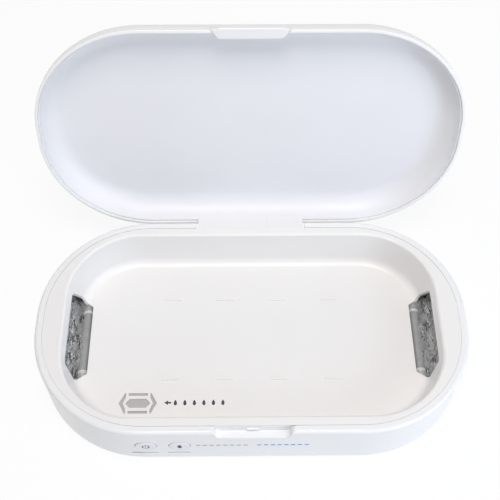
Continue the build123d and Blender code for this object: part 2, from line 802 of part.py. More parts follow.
with BuildPart() as board_chips:
    with BuildSketch(Plane.XY.offset(board_top_z)):
        with Locations((0, chip_y)):
            Rectangle(chip_side, chip_side)
        with Locations((-small_chip_x, chip_y), (small_chip_x, chip_y)):
            Rectangle(small_chip_length, small_chip_width)
    extrude(amount=chip_height)
    chamfer(board_chips.faces().filter_by(Axis.Z).group_by(Axis.Z)[-1].edges(), chip_chamfer)
board_chips.part.label = "board_chips"
export_step(board_chips.part, "parts/board_chips.step")

# Headers that the leads plug into, each with its mouth upwards
header_inset = board_fit + header_width / 2
side_header_x = main_board_length / 2 - header_inset
side_headers = [(s * side_header_x, y) for s in (-1, 1) for y in lamp_header_y]
front_headers = [(x, board_front_y + header_inset) for x in (heater_header_x, button_header_x)]
rear_headers = [(inlet_header_x, board_rear_y - header_inset)]
with BuildPart() as board_headers:
    with BuildSketch(Plane.XY.offset(board_top_z)):
        with Locations(*side_headers):
            Rectangle(header_width, header_length)
        with Locations(*front_headers, *rear_headers):
            Rectangle(header_length, header_width)
    extrude(amount=header_height)
    with BuildSketch(Plane.XY.offset(board_top_z + header_height - header_depth)):
        with Locations(*side_headers):
            Rectangle(header_width - 2 * header_wall, header_length - 2 * header_wall)
        with Locations(*front_headers, *rear_headers):
            Rectangle(header_length - 2 * header_wall, header_width - 2 * header_wall)
    extrude(amount=header_depth, mode=Mode.SUBTRACT)
board_headers.part.label = "board_headers"
export_step(board_headers.part, "parts/board_headers.step")

with BuildPart() as board_screws:
    with BuildSketch(Plane.XY.offset(case_floor_z - board_screw_bite)):
        with Locations((0, main_board_y)):
            with GridLocations(main_board_length - 2 * board_hole_inset,
                               main_board_width - 2 * board_hole_inset, 2, 2):
                Circle(board_screw_r)
    extrude(amount=board_top_z - case_floor_z + board_screw_bite)
    with BuildSketch(Plane.XY.offset(board_top_z)):
        with Locations((0, main_board_y)):
            with GridLocations(main_board_length - 2 * board_hole_inset,
                               main_board_width - 2 * board_hole_inset, 2, 2):
                Circle(board_screw_head_r)
    extrude(amount=board_screw_head)
    with BuildSketch(Plane.XY.offset(board_top_z + board_screw_head - screw_slot_depth)):
        with Locations((0, main_board_y)):
            with GridLocations(main_board_length - 2 * board_hole_inset,
                               main_board_width - 2 * board_hole_inset, 2, 2):
                Rectangle(screw_slot_length, screw_slot)
                Rectangle(screw_slot, screw_slot_length)
    extrude(amount=screw_slot_depth, mode=Mode.SUBTRACT)
board_screws.part.label = "board_screws"
export_step(board_screws.part, "parts/board_screws.step")

# Charging inlet at the rear
with BuildPart() as inlet_board:
    with BuildSketch(Plane.XY.offset(inlet_board_z)):
        with Locations((inlet_x, inlet_board_y)):
            Rectangle(inlet_board_length, inlet_board_width)
    extrude(amount=board_thickness)
inlet_board.part.label = "inlet_board"
export_step(inlet_board.part, "parts/inlet_board.step")

with BuildPart() as inlet_shell:
    with BuildSketch(Plane.XZ.offset(-inlet_face_y)):
        with Locations((inlet_x, inlet_z)):
            SlotOverall(inlet_shell_length, inlet_shell_height)
    extrude(amount=inlet_shell_depth)
    with BuildSketch(Plane.XZ.offset(-inlet_face_y)):
        with Locations((inlet_x, inlet_z)):
            SlotOverall(inlet_shell_length - 2 * inlet_shell_wall, inlet_shell_height - 2 * inlet_shell_wall)
    extrude(amount=inlet_shell_depth - inlet_shell_back, mode=Mode.SUBTRACT)
inlet_shell.part.label = "inlet_shell"
export_step(inlet_shell.part, "parts/inlet_shell.step")

with BuildPart() as inlet_tongue:
    with BuildSketch(Plane.XZ.offset(inlet_shell_depth - inlet_shell_back - inlet_face_y)):
        with Locations((inlet_x, inlet_z)):
            Rectangle(tongue_length, tongue_thickness)
    extrude(amount=-tongue_reach)
inlet_tongue.part.label = "inlet_tongue"
export_step(inlet_tongue.part, "parts/inlet_tongue.step")

inlet_wire_z = inlet_board_z + board_thickness / 2
with BuildPart() as inlet_lead:
    for shift in (-wire_pitch / 2, wire_pitch / 2):
        turn_y = inlet_board_front - inlet_lead_run + shift
        add(wire([(inlet_x + shift, inlet_board_front, inlet_wire_z), (inlet_x + shift, turn_y, inlet_wire_z),
                  (inlet_header_x + shift, turn_y, header_z),
                  (inlet_header_x + shift, board_rear_y - board_fit, header_z)], inlet_bend_r))
inlet_lead.part.label = "inlet_lead"
export_step(inlet_lead.part, "parts/inlet_lead.step")

# Button board with its switches, lid sensor and lead
board_width = button_board_right - button_board_left
board_centre_x = (button_board_right + button_board_left) / 2
sensor_x = button_board_right - sensor_end_distance
board_bottom_z = case_floor_z + board_fit
with BuildPart() as button_board:
    with BuildSketch(Plane.XZ.offset(-switch_back_y)):
        with Locations((board_centre_x, (board_bottom_z + button_board_top) / 2)):
            Rectangle(board_width, button_board_top - board_bottom_z)
    extrude(amount=-board_thickness)
button_board.part.label = "button_board"
export_step(button_board.part, "parts/button_board.step")

plunger_hole_depth = plunger_length - plunger_proud + button_travel + plunger_fit
with BuildPart() as switch_bodies:
    with BuildSketch(Plane.XZ.offset(-switch_back_y)):
        for x in button_x:
            with Locations((x, button_z)):
                RectangleRounded(switch_side, switch_side, switch_edge)
    extrude(amount=switch_depth)
    with BuildSketch(Plane.XZ.offset(-switch_front_y)):
        for x in button_x:
            with Locations((x, button_z)):
                Circle(plunger_r + plunger_fit)
    extrude(amount=-plunger_hole_depth, mode=Mode.SUBTRACT)
switch_bodies.part.label = "switch_bodies"
export_step(switch_bodies.part, "parts/switch_bodies.step")

with BuildPart() as lid_sensor:
    with BuildSketch(Plane.XZ.offset(-switch_back_y)):
        with Locations((sensor_x, button_board_top - sensor_height / 2 - board_fit)):
            Rectangle(sensor_width, sensor_height)
    extrude(amount=sensor_depth)
    chamfer(lid_sensor.faces().sort_by(Axis.Y)[0].edges(), chip_chamfer)
lid_sensor.part.label = "lid_sensor"
export_step(lid_sensor.part, "parts/lid_sensor.step")

with BuildPart() as button_lead:
    for index in range(button_lead_count):
        shift = (index - (button_lead_count - 1) / 2) * wire_pitch
        add(wire([(button_lead_x + shift, board_back_y, header_z),
                  (button_lead_x + shift, board_back_y + button_lead_bend[0], header_z),
                  (button_header_x + shift, board_front_y - button_lead_bend[1], header_z),
                  (button_header_x + shift, board_front_y + board_fit, header_z)], wire_bend_r))
button_lead.part.label = "button_lead"
export_step(button_lead.part, "parts/button_lead.step")

# Aroma cup under the port, with its pad, warming plate and lead
cup_height = tray_underside_z - case_floor_z - 2 * aroma_fit
cup_z = case_floor_z + aroma_fit
heater_z = cup_z + aroma_cup_floor
pad_z = heater_z + heater_thickness
inner_length = aroma_cup_length - 2 * aroma_cup_wall
inner_width = aroma_cup_width - 2 * aroma_cup_wall
with BuildPart() as aroma_cup:
    with BuildSketch(Plane.XY.offset(cup_z)):
        with Locations((port_x, port_y)):
            RectangleRounded(aroma_cup_length, aroma_cup_width, aroma_cup_r)
    extrude(amount=cup_height)
    with BuildSketch(Plane.XY.offset(heater_z)):
        with Locations((port_x, port_y)):
            RectangleRounded(inner_length, inner_width, aroma_cup_r - aroma_cup_wall)
    extrude(amount=cup_height, mode=Mode.SUBTRACT)
aroma_cup.part.label = "aroma_cup"
export_step(aroma_cup.part, "parts/aroma_cup.step")

with BuildPart() as aroma_heater:
    with BuildSketch(Plane.XY.offset(heater_z)):
        with Locations((port_x, port_y)):
            RectangleRounded(inner_length - 2 * aroma_fit, inner_width - 2 * aroma_fit,
                             aroma_cup_r - aroma_cup_wall)
    extrude(amount=heater_thickness)
aroma_heater.part.label = "aroma_heater"
export_step(aroma_heater.part, "parts/aroma_heater.step")

with BuildPart() as aroma_pad:
    with BuildSketch(Plane.XY.offset(pad_z)):
        with Locations((port_x, port_y)):
            RectangleRounded(port_pad_length - 2 * aroma_fit, port_pad_width - 2 * aroma_fit, pad_corner_r)
    extrude(amount=basin_floor_z - port_web - aroma_fit - pad_z)
aroma_pad.part.label = "aroma_pad"
export_step(aroma_pad.part, "parts/aroma_pad.step")

cup_rear_y = port_y + aroma_cup_width / 2
with BuildPart() as heater_lead:
    for shift in (-wire_pitch / 2, wire_pitch / 2):
        add(wire([(port_x + shift, cup_rear_y, header_z),
                  (port_x + shift, cup_rear_y + heater_lead_bend[0] - shift, header_z),
                  (heater_header_x + shift, board_front_y - heater_lead_bend[1] - shift, header_z),
                  (heater_header_x + shift, board_front_y + board_fit, header_z)], wire_bend_r))
heater_lead.part.label = "heater_lead"
export_step(heater_lead.part, "parts/heater_lead.step")

# Steel catch plate under the front of the flange
with BuildPart() as catch_plate:
    with BuildSketch(Plane.XY.offset(flange_underside_z)):
        with Locations((0, catch_y)):
            Rectangle(catch_length, catch_width)
    extrude(amount=catch_thickness)
catch_plate.part.label = "catch_plate"
export_step(catch_plate.part, "parts/catch_plate.step")

# Rubber feet, case screws and hinge pin
with BuildPart() as rubber_feet:
    with BuildSketch():
        with GridLocations(2 * foot_x, 2 * foot_y, 2, 2):
            Circle(foot_r)
    extrude(amount=foot_height + foot_pocket)
    fillet(rubber_feet.faces().filter_by(Axis.Z).group_by(Axis.Z)[0].edges(), foot_edge_r)
rubber_feet.part.label = "rubber_feet"
export_step(rubber_feet.part, "parts/rubber_feet.step")

with BuildPart() as case_screws:
    with BuildSketch(Plane.XY.offset(counterbore_z - screw_head)):
        with Locations(*post_places()):
            Circle(screw_head_r)
    extrude(amount=screw_head)
    with BuildSketch(Plane.XY.offset(counterbore_z)):
        with Locations(*post_places()):
            Circle(screw_r)
    extrude(amount=screw_tip_z - counterbore_z)
    with BuildSketch(Plane.XY.offset(counterbore_z - screw_head)):
        with Locations(*post_places()):
            Rectangle(screw_slot_length, screw_slot)
            Rectangle(screw_slot, screw_slot_length)
    extrude(amount=screw_slot_depth, mode=Mode.SUBTRACT)
case_screws.part.label = "case_screws"
export_step(case_screws.part, "parts/case_screws.step")

with BuildPart() as hinge_pin:
    with BuildSketch(Plane.YZ.offset(-recess_half - pin_engagement)):
        with Locations((pivot_y, pivot_z)):
            Circle(pin_r)
    extrude(amount=2 * (recess_half + pin_engagement))
hinge_pin.part.label = "hinge_pin"
export_step(hinge_pin.part, "parts/hinge_pin.step")

# Push buttons and the switch plungers that they press
for name, x in zip(button_names, button_x):
    with BuildPart() as push_button:
        face_y = button_wall_y - button_proud
        with BuildSketch(Plane.XZ.offset(-face_y)):
            with Locations((x, button_z)):
                Ellipse(button_half_length, button_half_height)
        extrude(amount=face_y - collar_front_y)
        fillet(push_button.faces().sort_by(Axis.Y)[0].edges(), button_edge_r)
        with BuildSketch(Plane.XZ.offset(-collar_front_y)):
            with Locations((x, button_z)):
                Ellipse(button_half_length + button_collar, button_half_height + button_collar)
        extrude(amount=-button_collar_thickness)
        with BuildSketch(Plane.XZ.offset(-collar_back_y)):
            with Locations((x, button_z)):
                Circle(button_stem_r)
        extrude(amount=-button_stem_length)
    push_button.part.label = f"{name}_button"
    export_step(push_button.part, f"parts/{name}_button.step")

    with BuildPart() as plunger:
        with BuildSketch(Plane.XZ.offset(-stem_end_y)):
            with Locations((x, button_z)):
                Circle(plunger_r)
        extrude(amount=-plunger_length)
    plunger.part.label = f"{name}_plunger"
    export_step(plunger.part, f"parts/{name}_plunger.step")

# Lid, drawn as if closed in its own plane, which stands open about the hinge
with BuildPart() as lid_block:
    with BuildSketch(lid_plane):
        case_outline(0)
    extrude(amount=lid_height)
    fillet(lid_block.faces().sort_by(lid_up)[-1].edges(), lid_crown_r)

with BuildPart() as lid_hollow:
    with BuildSketch(lid_plane):
        case_outline(lid_wall)
    extrude(amount=lid_height - lid_wall)
    fillet(lid_hollow.faces().sort_by(lid_up)[-1].edges(), lid_crown_r - lid_wall)

liner_inset = lid_wall + liner_gap
with BuildPart() as liner_block:
    with BuildSketch(lid_plane.offset(liner_recess)):
        case_outline(liner_inset)
    extrude(amount=lid_height - liner_inset - liner_recess)
    fillet(liner_block.faces().sort_by(lid_up)[-1].edges(), lid_crown_r - liner_inset)

panel_inset = liner_inset + liner_wall
with BuildPart() as liner_hollow:
    with BuildSketch(lid_plane):
        case_outline(panel_inset)
    extrude(amount=lid_height - panel_inset)
    fillet(liner_hollow.faces().sort_by(lid_up)[-1].edges(), lid_crown_r - panel_inset)

tab_tip_y = front_y - tab_proud
tab_root_y = front_y + tab_reach
tab_points = [(-tab_tip_length / 2, tab_tip_y), (tab_tip_length / 2, tab_tip_y),
              (tab_shoulder_length / 2, front_y), (tab_root_length / 2, tab_root_y),
              (-tab_root_length / 2, tab_root_y), (-tab_shoulder_length / 2, front_y)]
with BuildPart() as tab_room:
    with BuildSketch(lid_plane) as room_plan:
        Polygon(*tab_points, align=None)
        fillet(room_plan.vertices().group_by(Axis.Y)[-1], tab_corner_r)
        offset(amount=tab_fit)
    extrude(amount=tab_thickness + tab_fit)

with BuildPart() as lid_shell:
    add(lid_block.part)
    add(lid_hollow.part, mode=Mode.SUBTRACT)
    fillet(lid_shell.faces().filter_by(lid_up).sort_by(lid_up)[0].outer_wire().edges(), lid_lip_r)
    add(tab_room.part, mode=Mode.SUBTRACT)
lid_shell.part.label = "lid_shell"
export_step(lid_shell.part, "parts/lid_shell.step")

arm_lid_rear_y = rear_y - lid_wall - arm_shell_gap
with BuildPart() as lid_liner:
    add(liner_block.part)
    add(liner_hollow.part, mode=Mode.SUBTRACT)
    add(tab_room.part, mode=Mode.SUBTRACT)
    with BuildSketch(lid_plane):
        with Locations((0, hinge_front_y - liner_gap + lid_crown_r / 2)):
            Rectangle(hinge_length + 2 * tab_fit, lid_crown_r)
    extrude(amount=arm_lid_rise + tab_fit, mode=Mode.SUBTRACT)
lid_liner.part.label = "lid_liner"
export_step(lid_liner.part, "parts/lid_liner.step")

with BuildPart() as lid_tab:
    with BuildSketch(lid_plane) as tab_plan:
        Polygon(*tab_points, align=None)
        fillet(tab_plan.vertices().group_by(Axis.Y)[-1], tab_corner_r)
    extrude(amount=tab_thickness)
    fillet(lid_tab.faces().sort_by(lid_up)[0].edges(), tab_edge_r)
    with BuildSketch(lid_plane.offset(magnet_cover)):
        with Locations((0, front_y + magnet_setback)):
            Rectangle(magnet_length + 2 * tab_fit, magnet_width + 2 * tab_fit)
    extrude(amount=tab_thickness - magnet_cover, mode=Mode.SUBTRACT)
lid_tab.part.label = "lid_tab"
export_step(lid_tab.part, "parts/lid_tab.step")

with BuildPart() as lid_magnet:
    with BuildSketch(lid_plane.offset(magnet_cover)):
        with Locations((0, front_y + magnet_setback)):
            Rectangle(magnet_length, magnet_width)
    extrude(amount=magnet_thickness)
lid_magnet.part.label = "lid_magnet"
export_step(lid_magnet.part, "parts/lid_magnet.step")

# Hinge arm: knuckle, web and the tongue that reaches up inside the lid
local_pivot_z = pivot_z - lid_seat_z
with BuildPart() as hinge_arm:
    with BuildSketch(lid_section):
        with Locations((pivot_y, local_pivot_z)):
            Circle(knuckle_r)
        with Locations(((hinge_front_y + arm_rear_y) / 2, local_pivot_z / 2)):
            Rectangle(arm_rear_y - hinge_front_y, -local_pivot_z)
        with Locations(((hinge_front_y + arm_lid_rear_y) / 2, arm_lid_rise / 2)):
            Rectangle(arm_lid_rear_y - hinge_front_y, arm_lid_rise)
    extrude(amount=hinge_half, both=True)
    with BuildSketch(lid_section):
        with Locations((pivot_y, local_pivot_z)):
            Circle(pin_r + pin_clearance)
    extrude(amount=hinge_half, both=True, mode=Mode.SUBTRACT)
    with BuildSketch(lid_section.offset(hinge_slit_x)):
        with Locations((pivot_y, local_pivot_z)):
            Circle(knuckle_r + bearing_fit)
    extrude(amount=bearing_web / 2 + bearing_fit, both=True, mode=Mode.SUBTRACT)
    slit_top = arm_lid_rise - hinge_slit
    slit_bottom = local_pivot_z - knuckle_r
    with BuildSketch(lid_section.offset(hinge_slit_x)):
        with Locations((hinge_front_y, (slit_top + slit_bottom) / 2)):
            Rectangle(2 * hinge_slit_depth, slit_top - slit_bottom)
    extrude(amount=hinge_slit / 2, both=True, mode=Mode.SUBTRACT)
hinge_arm.part.label = "hinge_arm"
export_step(hinge_arm.part, "parts/hinge_arm.step")
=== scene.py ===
"""Face mask sterilizer: finishes of the case, lid and lamps, printed signs, and a studio."""

import math

import bmesh
import bpy
import numpy as np
from bpy.props import FloatProperty, FloatVectorProperty, IntProperty, PointerProperty
from bpy.types import Operator, Panel, PropertyGroup
from mathutils import Matrix, Vector


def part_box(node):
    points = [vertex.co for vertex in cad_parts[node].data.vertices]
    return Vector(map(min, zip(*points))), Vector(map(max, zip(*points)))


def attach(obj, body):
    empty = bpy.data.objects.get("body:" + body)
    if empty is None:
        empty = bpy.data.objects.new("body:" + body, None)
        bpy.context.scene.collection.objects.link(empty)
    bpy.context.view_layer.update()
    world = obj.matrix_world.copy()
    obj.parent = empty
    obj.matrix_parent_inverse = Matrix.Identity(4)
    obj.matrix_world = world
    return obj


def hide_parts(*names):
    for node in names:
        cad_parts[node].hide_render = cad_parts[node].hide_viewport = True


bl_info = {
    "name": "Face mask sterilizer",
    "version": (1, 0, 0),
    "blender": (4, 5, 0),
    "location": "3D View > Sidebar > Sterilizer",
    "description": "Dresses the packed case, lid, lamps and buttons, and sets the studio",
    "category": "Object",
}

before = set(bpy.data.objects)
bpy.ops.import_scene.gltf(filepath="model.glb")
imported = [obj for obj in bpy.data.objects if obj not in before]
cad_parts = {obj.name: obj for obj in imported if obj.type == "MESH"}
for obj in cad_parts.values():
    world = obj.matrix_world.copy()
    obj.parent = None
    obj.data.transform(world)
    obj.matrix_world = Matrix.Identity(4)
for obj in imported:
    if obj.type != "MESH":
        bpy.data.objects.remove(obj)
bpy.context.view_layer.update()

MM = 0.001
X_AXIS, Y_AXIS, Z_AXIS = np.eye(3)
WHITE = (1, 1, 1, 1)

# The case: half its length and depth at the rim, its corners, and its wall, which leans in below the rim
CASE_HALF = np.array((112.5, 62.5)) * MM
CASE_CORNER = 58.0 * MM
WALL_DRAFT = math.radians(0.3)
WALL_NORMAL = np.array((0, -math.cos(WALL_DRAFT), -math.sin(WALL_DRAFT)))
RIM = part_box("inner_tray")[1].z
BASIN_DEPTH = 20.5 * MM
TRAY_FLOOR = RIM - BASIN_DEPTH

# The lid: its hinge, how far it stands open, the way its open mouth faces, and its edge when it is closed
HINGE = np.array((0, 61.2, 23.3)) * MM
OPEN_ANGLE = math.radians(103)
LID_MOUTH = np.array((0, -math.sin(OPEN_ANGLE), -math.cos(OPEN_ANGLE)))
LID_GAP = 0.3 * MM
LID_EDGE = RIM + LID_GAP

# The seams: how far inside the case's outline they run, and half their gaps at the notch and the hinge
TRAY_SEAM = {"inset": 4.05 * MM, "front_gap": 21.2 * MM, "rear_gap": 31.0 * MM}
LID_SEAM = {"inset": 1.6 * MM, "front_gap": 19.6 * MM, "rear_gap": 30.2 * MM}

# The buttons: half the width and height of their ovals, and the gap round them
BUTTONS = ("power_button", "aroma_button")
BUTTON_HALF = np.array((5.3, 4.2)) * MM
BUTTON_GAP = 0.25 * MM


def box(node):
    """Lowest and highest corner of a CAD node."""
    return [np.array(corner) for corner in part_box(node)]


def middle(node):
    """Middle of a CAD node."""
    low, high = box(node)
    return (low + high) / 2


def wall_y(z):
    """Y of the front wall at height z: it stands back by the depth below the rim times the draft's slope."""
    return (RIM - z) * math.tan(WALL_DRAFT) - CASE_HALF[1]


# Sizes and colours that a user would change


class PlasticSettings(PropertyGroup):
    """Colours and surface of the moulded parts."""
    case_colour: FloatVectorProperty(
        name="Case colour", description="Base housing with its rim, and the lid's tab and hinge arm",
        subtype="COLOR", default=(0.85, 0.85, 0.86), min=0, max=1)
    lid_colour: FloatVectorProperty(
        name="Lid colour", description="Outer shell of the lid", subtype="COLOR",
        default=(0.90, 0.90, 0.90), min=0, max=1)
    tray_colour: FloatVectorProperty(
        name="Tray colour", description="Inner tray with its basin and flange", subtype="COLOR",
        default=(0.84, 0.826, 0.816), min=0, max=1)
    liner_colour: FloatVectorProperty(
        name="Liner colour", description="Liner inside the lid", subtype="COLOR",
        default=(0.82, 0.822, 0.85), min=0, max=1)
    button_colour: FloatVectorProperty(
        name="Button colour", description="Both push buttons", subtype="COLOR",
        default=(0.81, 0.82, 0.85), min=0, max=1)
    # Painted shade: colour of the dark bands that stand in for the shade in the gaps round the buttons.
    gap_shade_colour: FloatVectorProperty(
        name="Shading colour", description="Thin shading in the gaps round the buttons", subtype="COLOR",
        default=(0.04, 0.04, 0.045), min=0, max=1)
    gloss_roughness: FloatProperty(
        name="Gloss roughness", description="Roughness of the polished outer faces",
        default=0.24, min=0, max=1)
    satin_roughness: FloatProperty(
        name="Satin roughness", description="Roughness of the fine-textured inner faces",
        default=0.36, min=0, max=1)
    liner_roughness: FloatProperty(
        name="Liner roughness", description="Roughness of the lid's liner",
        default=0.46, min=0, max=1)
    grain_size: FloatProperty(
        name="Grain size", description="Width of one dimple of the moulded texture", unit="LENGTH",
        default=0.45 * MM, precision=5)
    grain_depth: FloatProperty(
        name="Grain depth", description="Depth of the moulded texture", unit="LENGTH",
        default=0.004 * MM, precision=6)
    # Painted shade: how far the dark bands in the gaps round the buttons lie behind the front wall.
    gap_shade_depth: FloatProperty(
        name="Shading depth", description="How far the button shading lie behind the front wall", unit="LENGTH",
        default=0.14 * MM, precision=5)
    bead_drop: FloatProperty(
        name="Bead drop", description="How far the tray's bead lies below the rim, and in part the lid's",
        unit="LENGTH", default=0.55 * MM, precision=5)


class LampSettings(PropertyGroup):
    """Foil, electrodes, glass, sleeves and caps of the lamps."""
    crinkle: FloatProperty(
        name="Crinkle", description="Depth of the folds in the foil", unit="LENGTH",
        default=1.5 * MM, precision=5)
    fold_length: FloatProperty(
        name="Fold length", description="Typical distance between folds", unit="LENGTH",
        default=5.5 * MM, precision=5)
    folds: IntProperty(
        name="Folds", description="How many sets of straight folds cross the foil", default=5, min=1)
    flare: FloatProperty(
        name="Flare", description="How far the back of the foil runs on past the caps at each end",
        unit="LENGTH", default=4.0 * MM, precision=5)
    foil_thickness: FloatProperty(
        name="Foil thickness", description="Thickness of the foil sheet", unit="LENGTH",
        default=0.08 * MM, precision=5)
    foil_colour: FloatVectorProperty(
        name="Foil colour", description="Metal of the foil", subtype="COLOR",
        default=(0.90, 0.90, 0.91), min=0, max=1)
    glass_colour: FloatVectorProperty(
        name="Glass colour", description="Tint of the lamp tubes", subtype="COLOR",
        default=(0.38, 0.385, 0.39), min=0, max=1)
    sleeve_colour: FloatVectorProperty(
        name="Sleeve colour", description="Clear sleeves near the ends of the tubes", subtype="COLOR",
        default=(0.48, 0.48, 0.48), min=0, max=1)
    ring_colour: FloatVectorProperty(
        name="Ring colour", description="Rolled rims of the sleeves", subtype="COLOR",
        default=(0.66, 0.66, 0.66), min=0, max=1)
    electrode_colour: FloatVectorProperty(
        name="Electrode colour", description="Metal inside the ends of the tubes", subtype="COLOR",
        default=(0.50, 0.51, 0.53), min=0, max=1)
    cap_colour: FloatVectorProperty(
        name="Cap colour", description="Rubber caps that hold the tubes", subtype="COLOR",
        default=(0.62, 0.62, 0.60), min=0, max=1)


class SignSettings(PropertyGroup):
    """Printed pictograms on the buttons, the front wall and the tray floor."""
    ink_colour: FloatVectorProperty(
        name="Ink colour", description="Dark printing ink", subtype="COLOR",
        default=(0.035, 0.035, 0.04), min=0, max=1)
    grey_colour: FloatVectorProperty(
        name="Grey ink colour", description="Left run of dashes on the front wall", subtype="COLOR",
        default=(0.30, 0.33, 0.40), min=0, max=1)
    blue_colour: FloatVectorProperty(
        name="Blue ink colour", description="Right run of dashes on the front wall", subtype="COLOR",
        default=(0.05, 0.26, 0.62), min=0, max=1)
    stroke: FloatProperty(
        name="Stroke", description="Line width of the power sign", unit="LENGTH",
        default=0.5 * MM, precision=5)
    ink_thickness: FloatProperty(
        name="Ink thickness", description="Height of the print over its surface", unit="LENGTH",
        default=0.03 * MM, precision=6)
    drop_height: FloatProperty(
        name="Drop height", description="Height of one drop sign beside the aroma port", unit="LENGTH",
        default=3.0 * MM, precision=5)


class StudioSettings(PropertyGroup):
    """Lights, floor and camera."""
    world_strength: FloatProperty(
        name="Ambient", description="Strength of the even light", default=0.34, min=0)
    key_power: FloatProperty(
        name="Key power", description="Large light overhead", unit="POWER", default=6.75)
    fill_power: FloatProperty(
        name="Fill power", description="Cool light from the right of the front", unit="POWER", default=2.2)
    floor_white: FloatProperty(
        name="Floor white", description="How much of the floor shows as plain white",
        default=0.9, min=0, max=1)
    focal_length: FloatProperty(
        name="Focal length", description="Lens on a 36 mm sensor", unit="CAMERA", default=64.8)


SETTINGS = {
    "sterilizer_plastic": PlasticSettings,
    "sterilizer_lamps": LampSettings,
    "sterilizer_signs": SignSettings,
    "sterilizer_studio": StudioSettings,
}


# Shader helpers


class Wire:
    """A shader socket that can be used in a Python expression: each operator adds a Math node."""

    def __init__(self, nodes, socket):
        self.nodes = nodes
        self.socket = socket

    def _math(self, operation, first, second):
        return self.nodes.node("ShaderNodeMath", {"operation": operation}, {0: first, 1: second})

    def __add__(self, other):
        return self._math("ADD", self, other)

    def __sub__(self, other):
        return self._math("SUBTRACT", self, other)

    def __rsub__(self, other):
        return self._math("SUBTRACT", other, self)

    def __mul__(self, other):
        return self._math("MULTIPLY", self, other)

    __radd__ = __add__
    __rmul__ = __mul__

    def beside(self, output):
        """Another output of the same node."""
        return Wire(self.nodes, self.socket.node.outputs[output])

    def clamp(self):
        """The value, held between 0 and 1."""
        return self.nodes.node("ShaderNodeClamp", {}, {"Value": self})

    def above(self, edge, softness):
        """0 below edge, 1 above it, over a soft band."""
        return ((self - edge) * (1 / softness) + 0.5).clamp()

    def crossing(self, edge, softness):
        """1 along the lines where the value passes 0, and 0 where its square is above edge."""
        return 1 - (self * self).above(edge, softness)


class Nodes:
    """The node tree of a material or of the world."""

    def __init__(self, tree):
        self.tree = tree

    def feed(self, socket, value):
        """Links a wire to a socket, or gives the socket a value."""
        if isinstance(value, Wire):
            self.tree.links.new(value.socket, socket)
        else:
            socket.default_value = value

    def node(self, kind, settings, inputs, output=0):
        """A node of this kind: settings first, then values or links of its sockets."""
        made = self.tree.nodes.new(kind)
        for key, value in settings.items():
            setattr(made, key, value)
        for key, value in inputs.items():
            self.feed(made.inputs[key], value)
        return Wire(self, made.outputs[output])

    def seen(self):
        """Above 0 for rays from the camera, in reflections and through glass, and 0 for plain light."""
        ray = self.node("ShaderNodeLightPath", {}, {}, "Is Camera Ray")
        return ray + ray.beside("Is Glossy Ray") + ray.beside("Is Transmission Ray")


class Finish(Nodes):
    """One material: a Principled shader and the nodes that feed it."""

    def __init__(self, name):
        self.material = bpy.data.materials.new(name)
        self.material.use_nodes = True
        super().__init__(self.material.node_tree)
        self.shader = self.tree.nodes["Principled BSDF"]

    def place(self):
        """Object coordinates in metres."""
        return self.node("ShaderNodeTexCoord", {}, {}, "Object")

    def parts(self, vector):
        """The three numbers of a vector."""
        split = self.node("ShaderNodeSeparateXYZ", {}, {"Vector": vector})
        return split, split.beside(1), split.beside(2)

    def noise(self, size, detail=2.0, vector=None):
        """Soft noise whose patches are about size metres wide."""
        return self.node("ShaderNodeTexNoise", {}, {
            "Vector": vector or self.place(), "Scale": 1 / size, "Detail": detail, "Roughness": 0.55})

    def cells(self, size, feature="F1", output="Distance"):
        """Voronoi cells about size metres wide."""
        return self.node("ShaderNodeTexVoronoi", {"feature": feature}, {
            "Vector": self.place(), "Scale": 1 / size}, output)

    def blend(self, factor, first, second):
        """Colour between first and second."""
        return self.node("ShaderNodeMix", {"data_type": "RGBA"}, {"Factor": factor, 6: first, 7: second}, 2)

    def shade(self, factor, colour, low, high):
        """A colour that runs from low times itself to high times itself as factor runs from 0 to 1."""
        return self.blend(factor, rgba(colour, low), rgba(colour, high))

    def bump(self, height, depth):
        """Normal bent by a height from 0 to 1 that stands for depth metres."""
        return self.node("ShaderNodeBump", {}, {"Height": height, "Distance": depth, "Strength": 1.0})

    def set(self, **sockets):
        """Values or links of the Principled shader, with _ for the spaces in a socket's name."""
        for key, value in sockets.items():
            self.feed(self.shader.inputs[key.replace("_", " ")], value)
        return self


def rgba(colour, level=1.0):
    """Four numbers from three, made lighter or darker by level."""
    return (*(min(1.0, channel * level) for channel in colour), 1.0)


# Finishes


def plastic(name, colour, roughness, grain, depth):
    """Moulded plastic: a slow drift of tone, a fine dimpled skin and faint rubbed patches."""
    finish = Finish(name)
    drift = finish.noise(60 * MM, 3.0)
    rub = finish.noise(9 * MM, 5.0)
    dimples = finish.cells(grain) * 0.5 + finish.noise(grain * 1.7) * 0.5
    return finish.set(
        Base_Color=finish.shade(drift, colour, 0.97, 1.03),
        Roughness=roughness + (rub - 0.5) * 0.16,
        Normal=finish.bump(dimples, depth),
        IOR=1.49)


def metal(name, colour, roughness, size=2 * MM):
    """Plated or drawn metal: noise in its polish and a slight dimpling."""
    finish = Finish(name)
    patches = finish.noise(size, 4.0)
    return finish.set(
        Base_Color=finish.shade(patches, colour, 0.86, 1.05),
        Metallic=1.0,
        Roughness=roughness + (patches - 0.5) * 0.2,
        Normal=finish.bump(finish.noise(size * 0.3), 0.01 * MM))


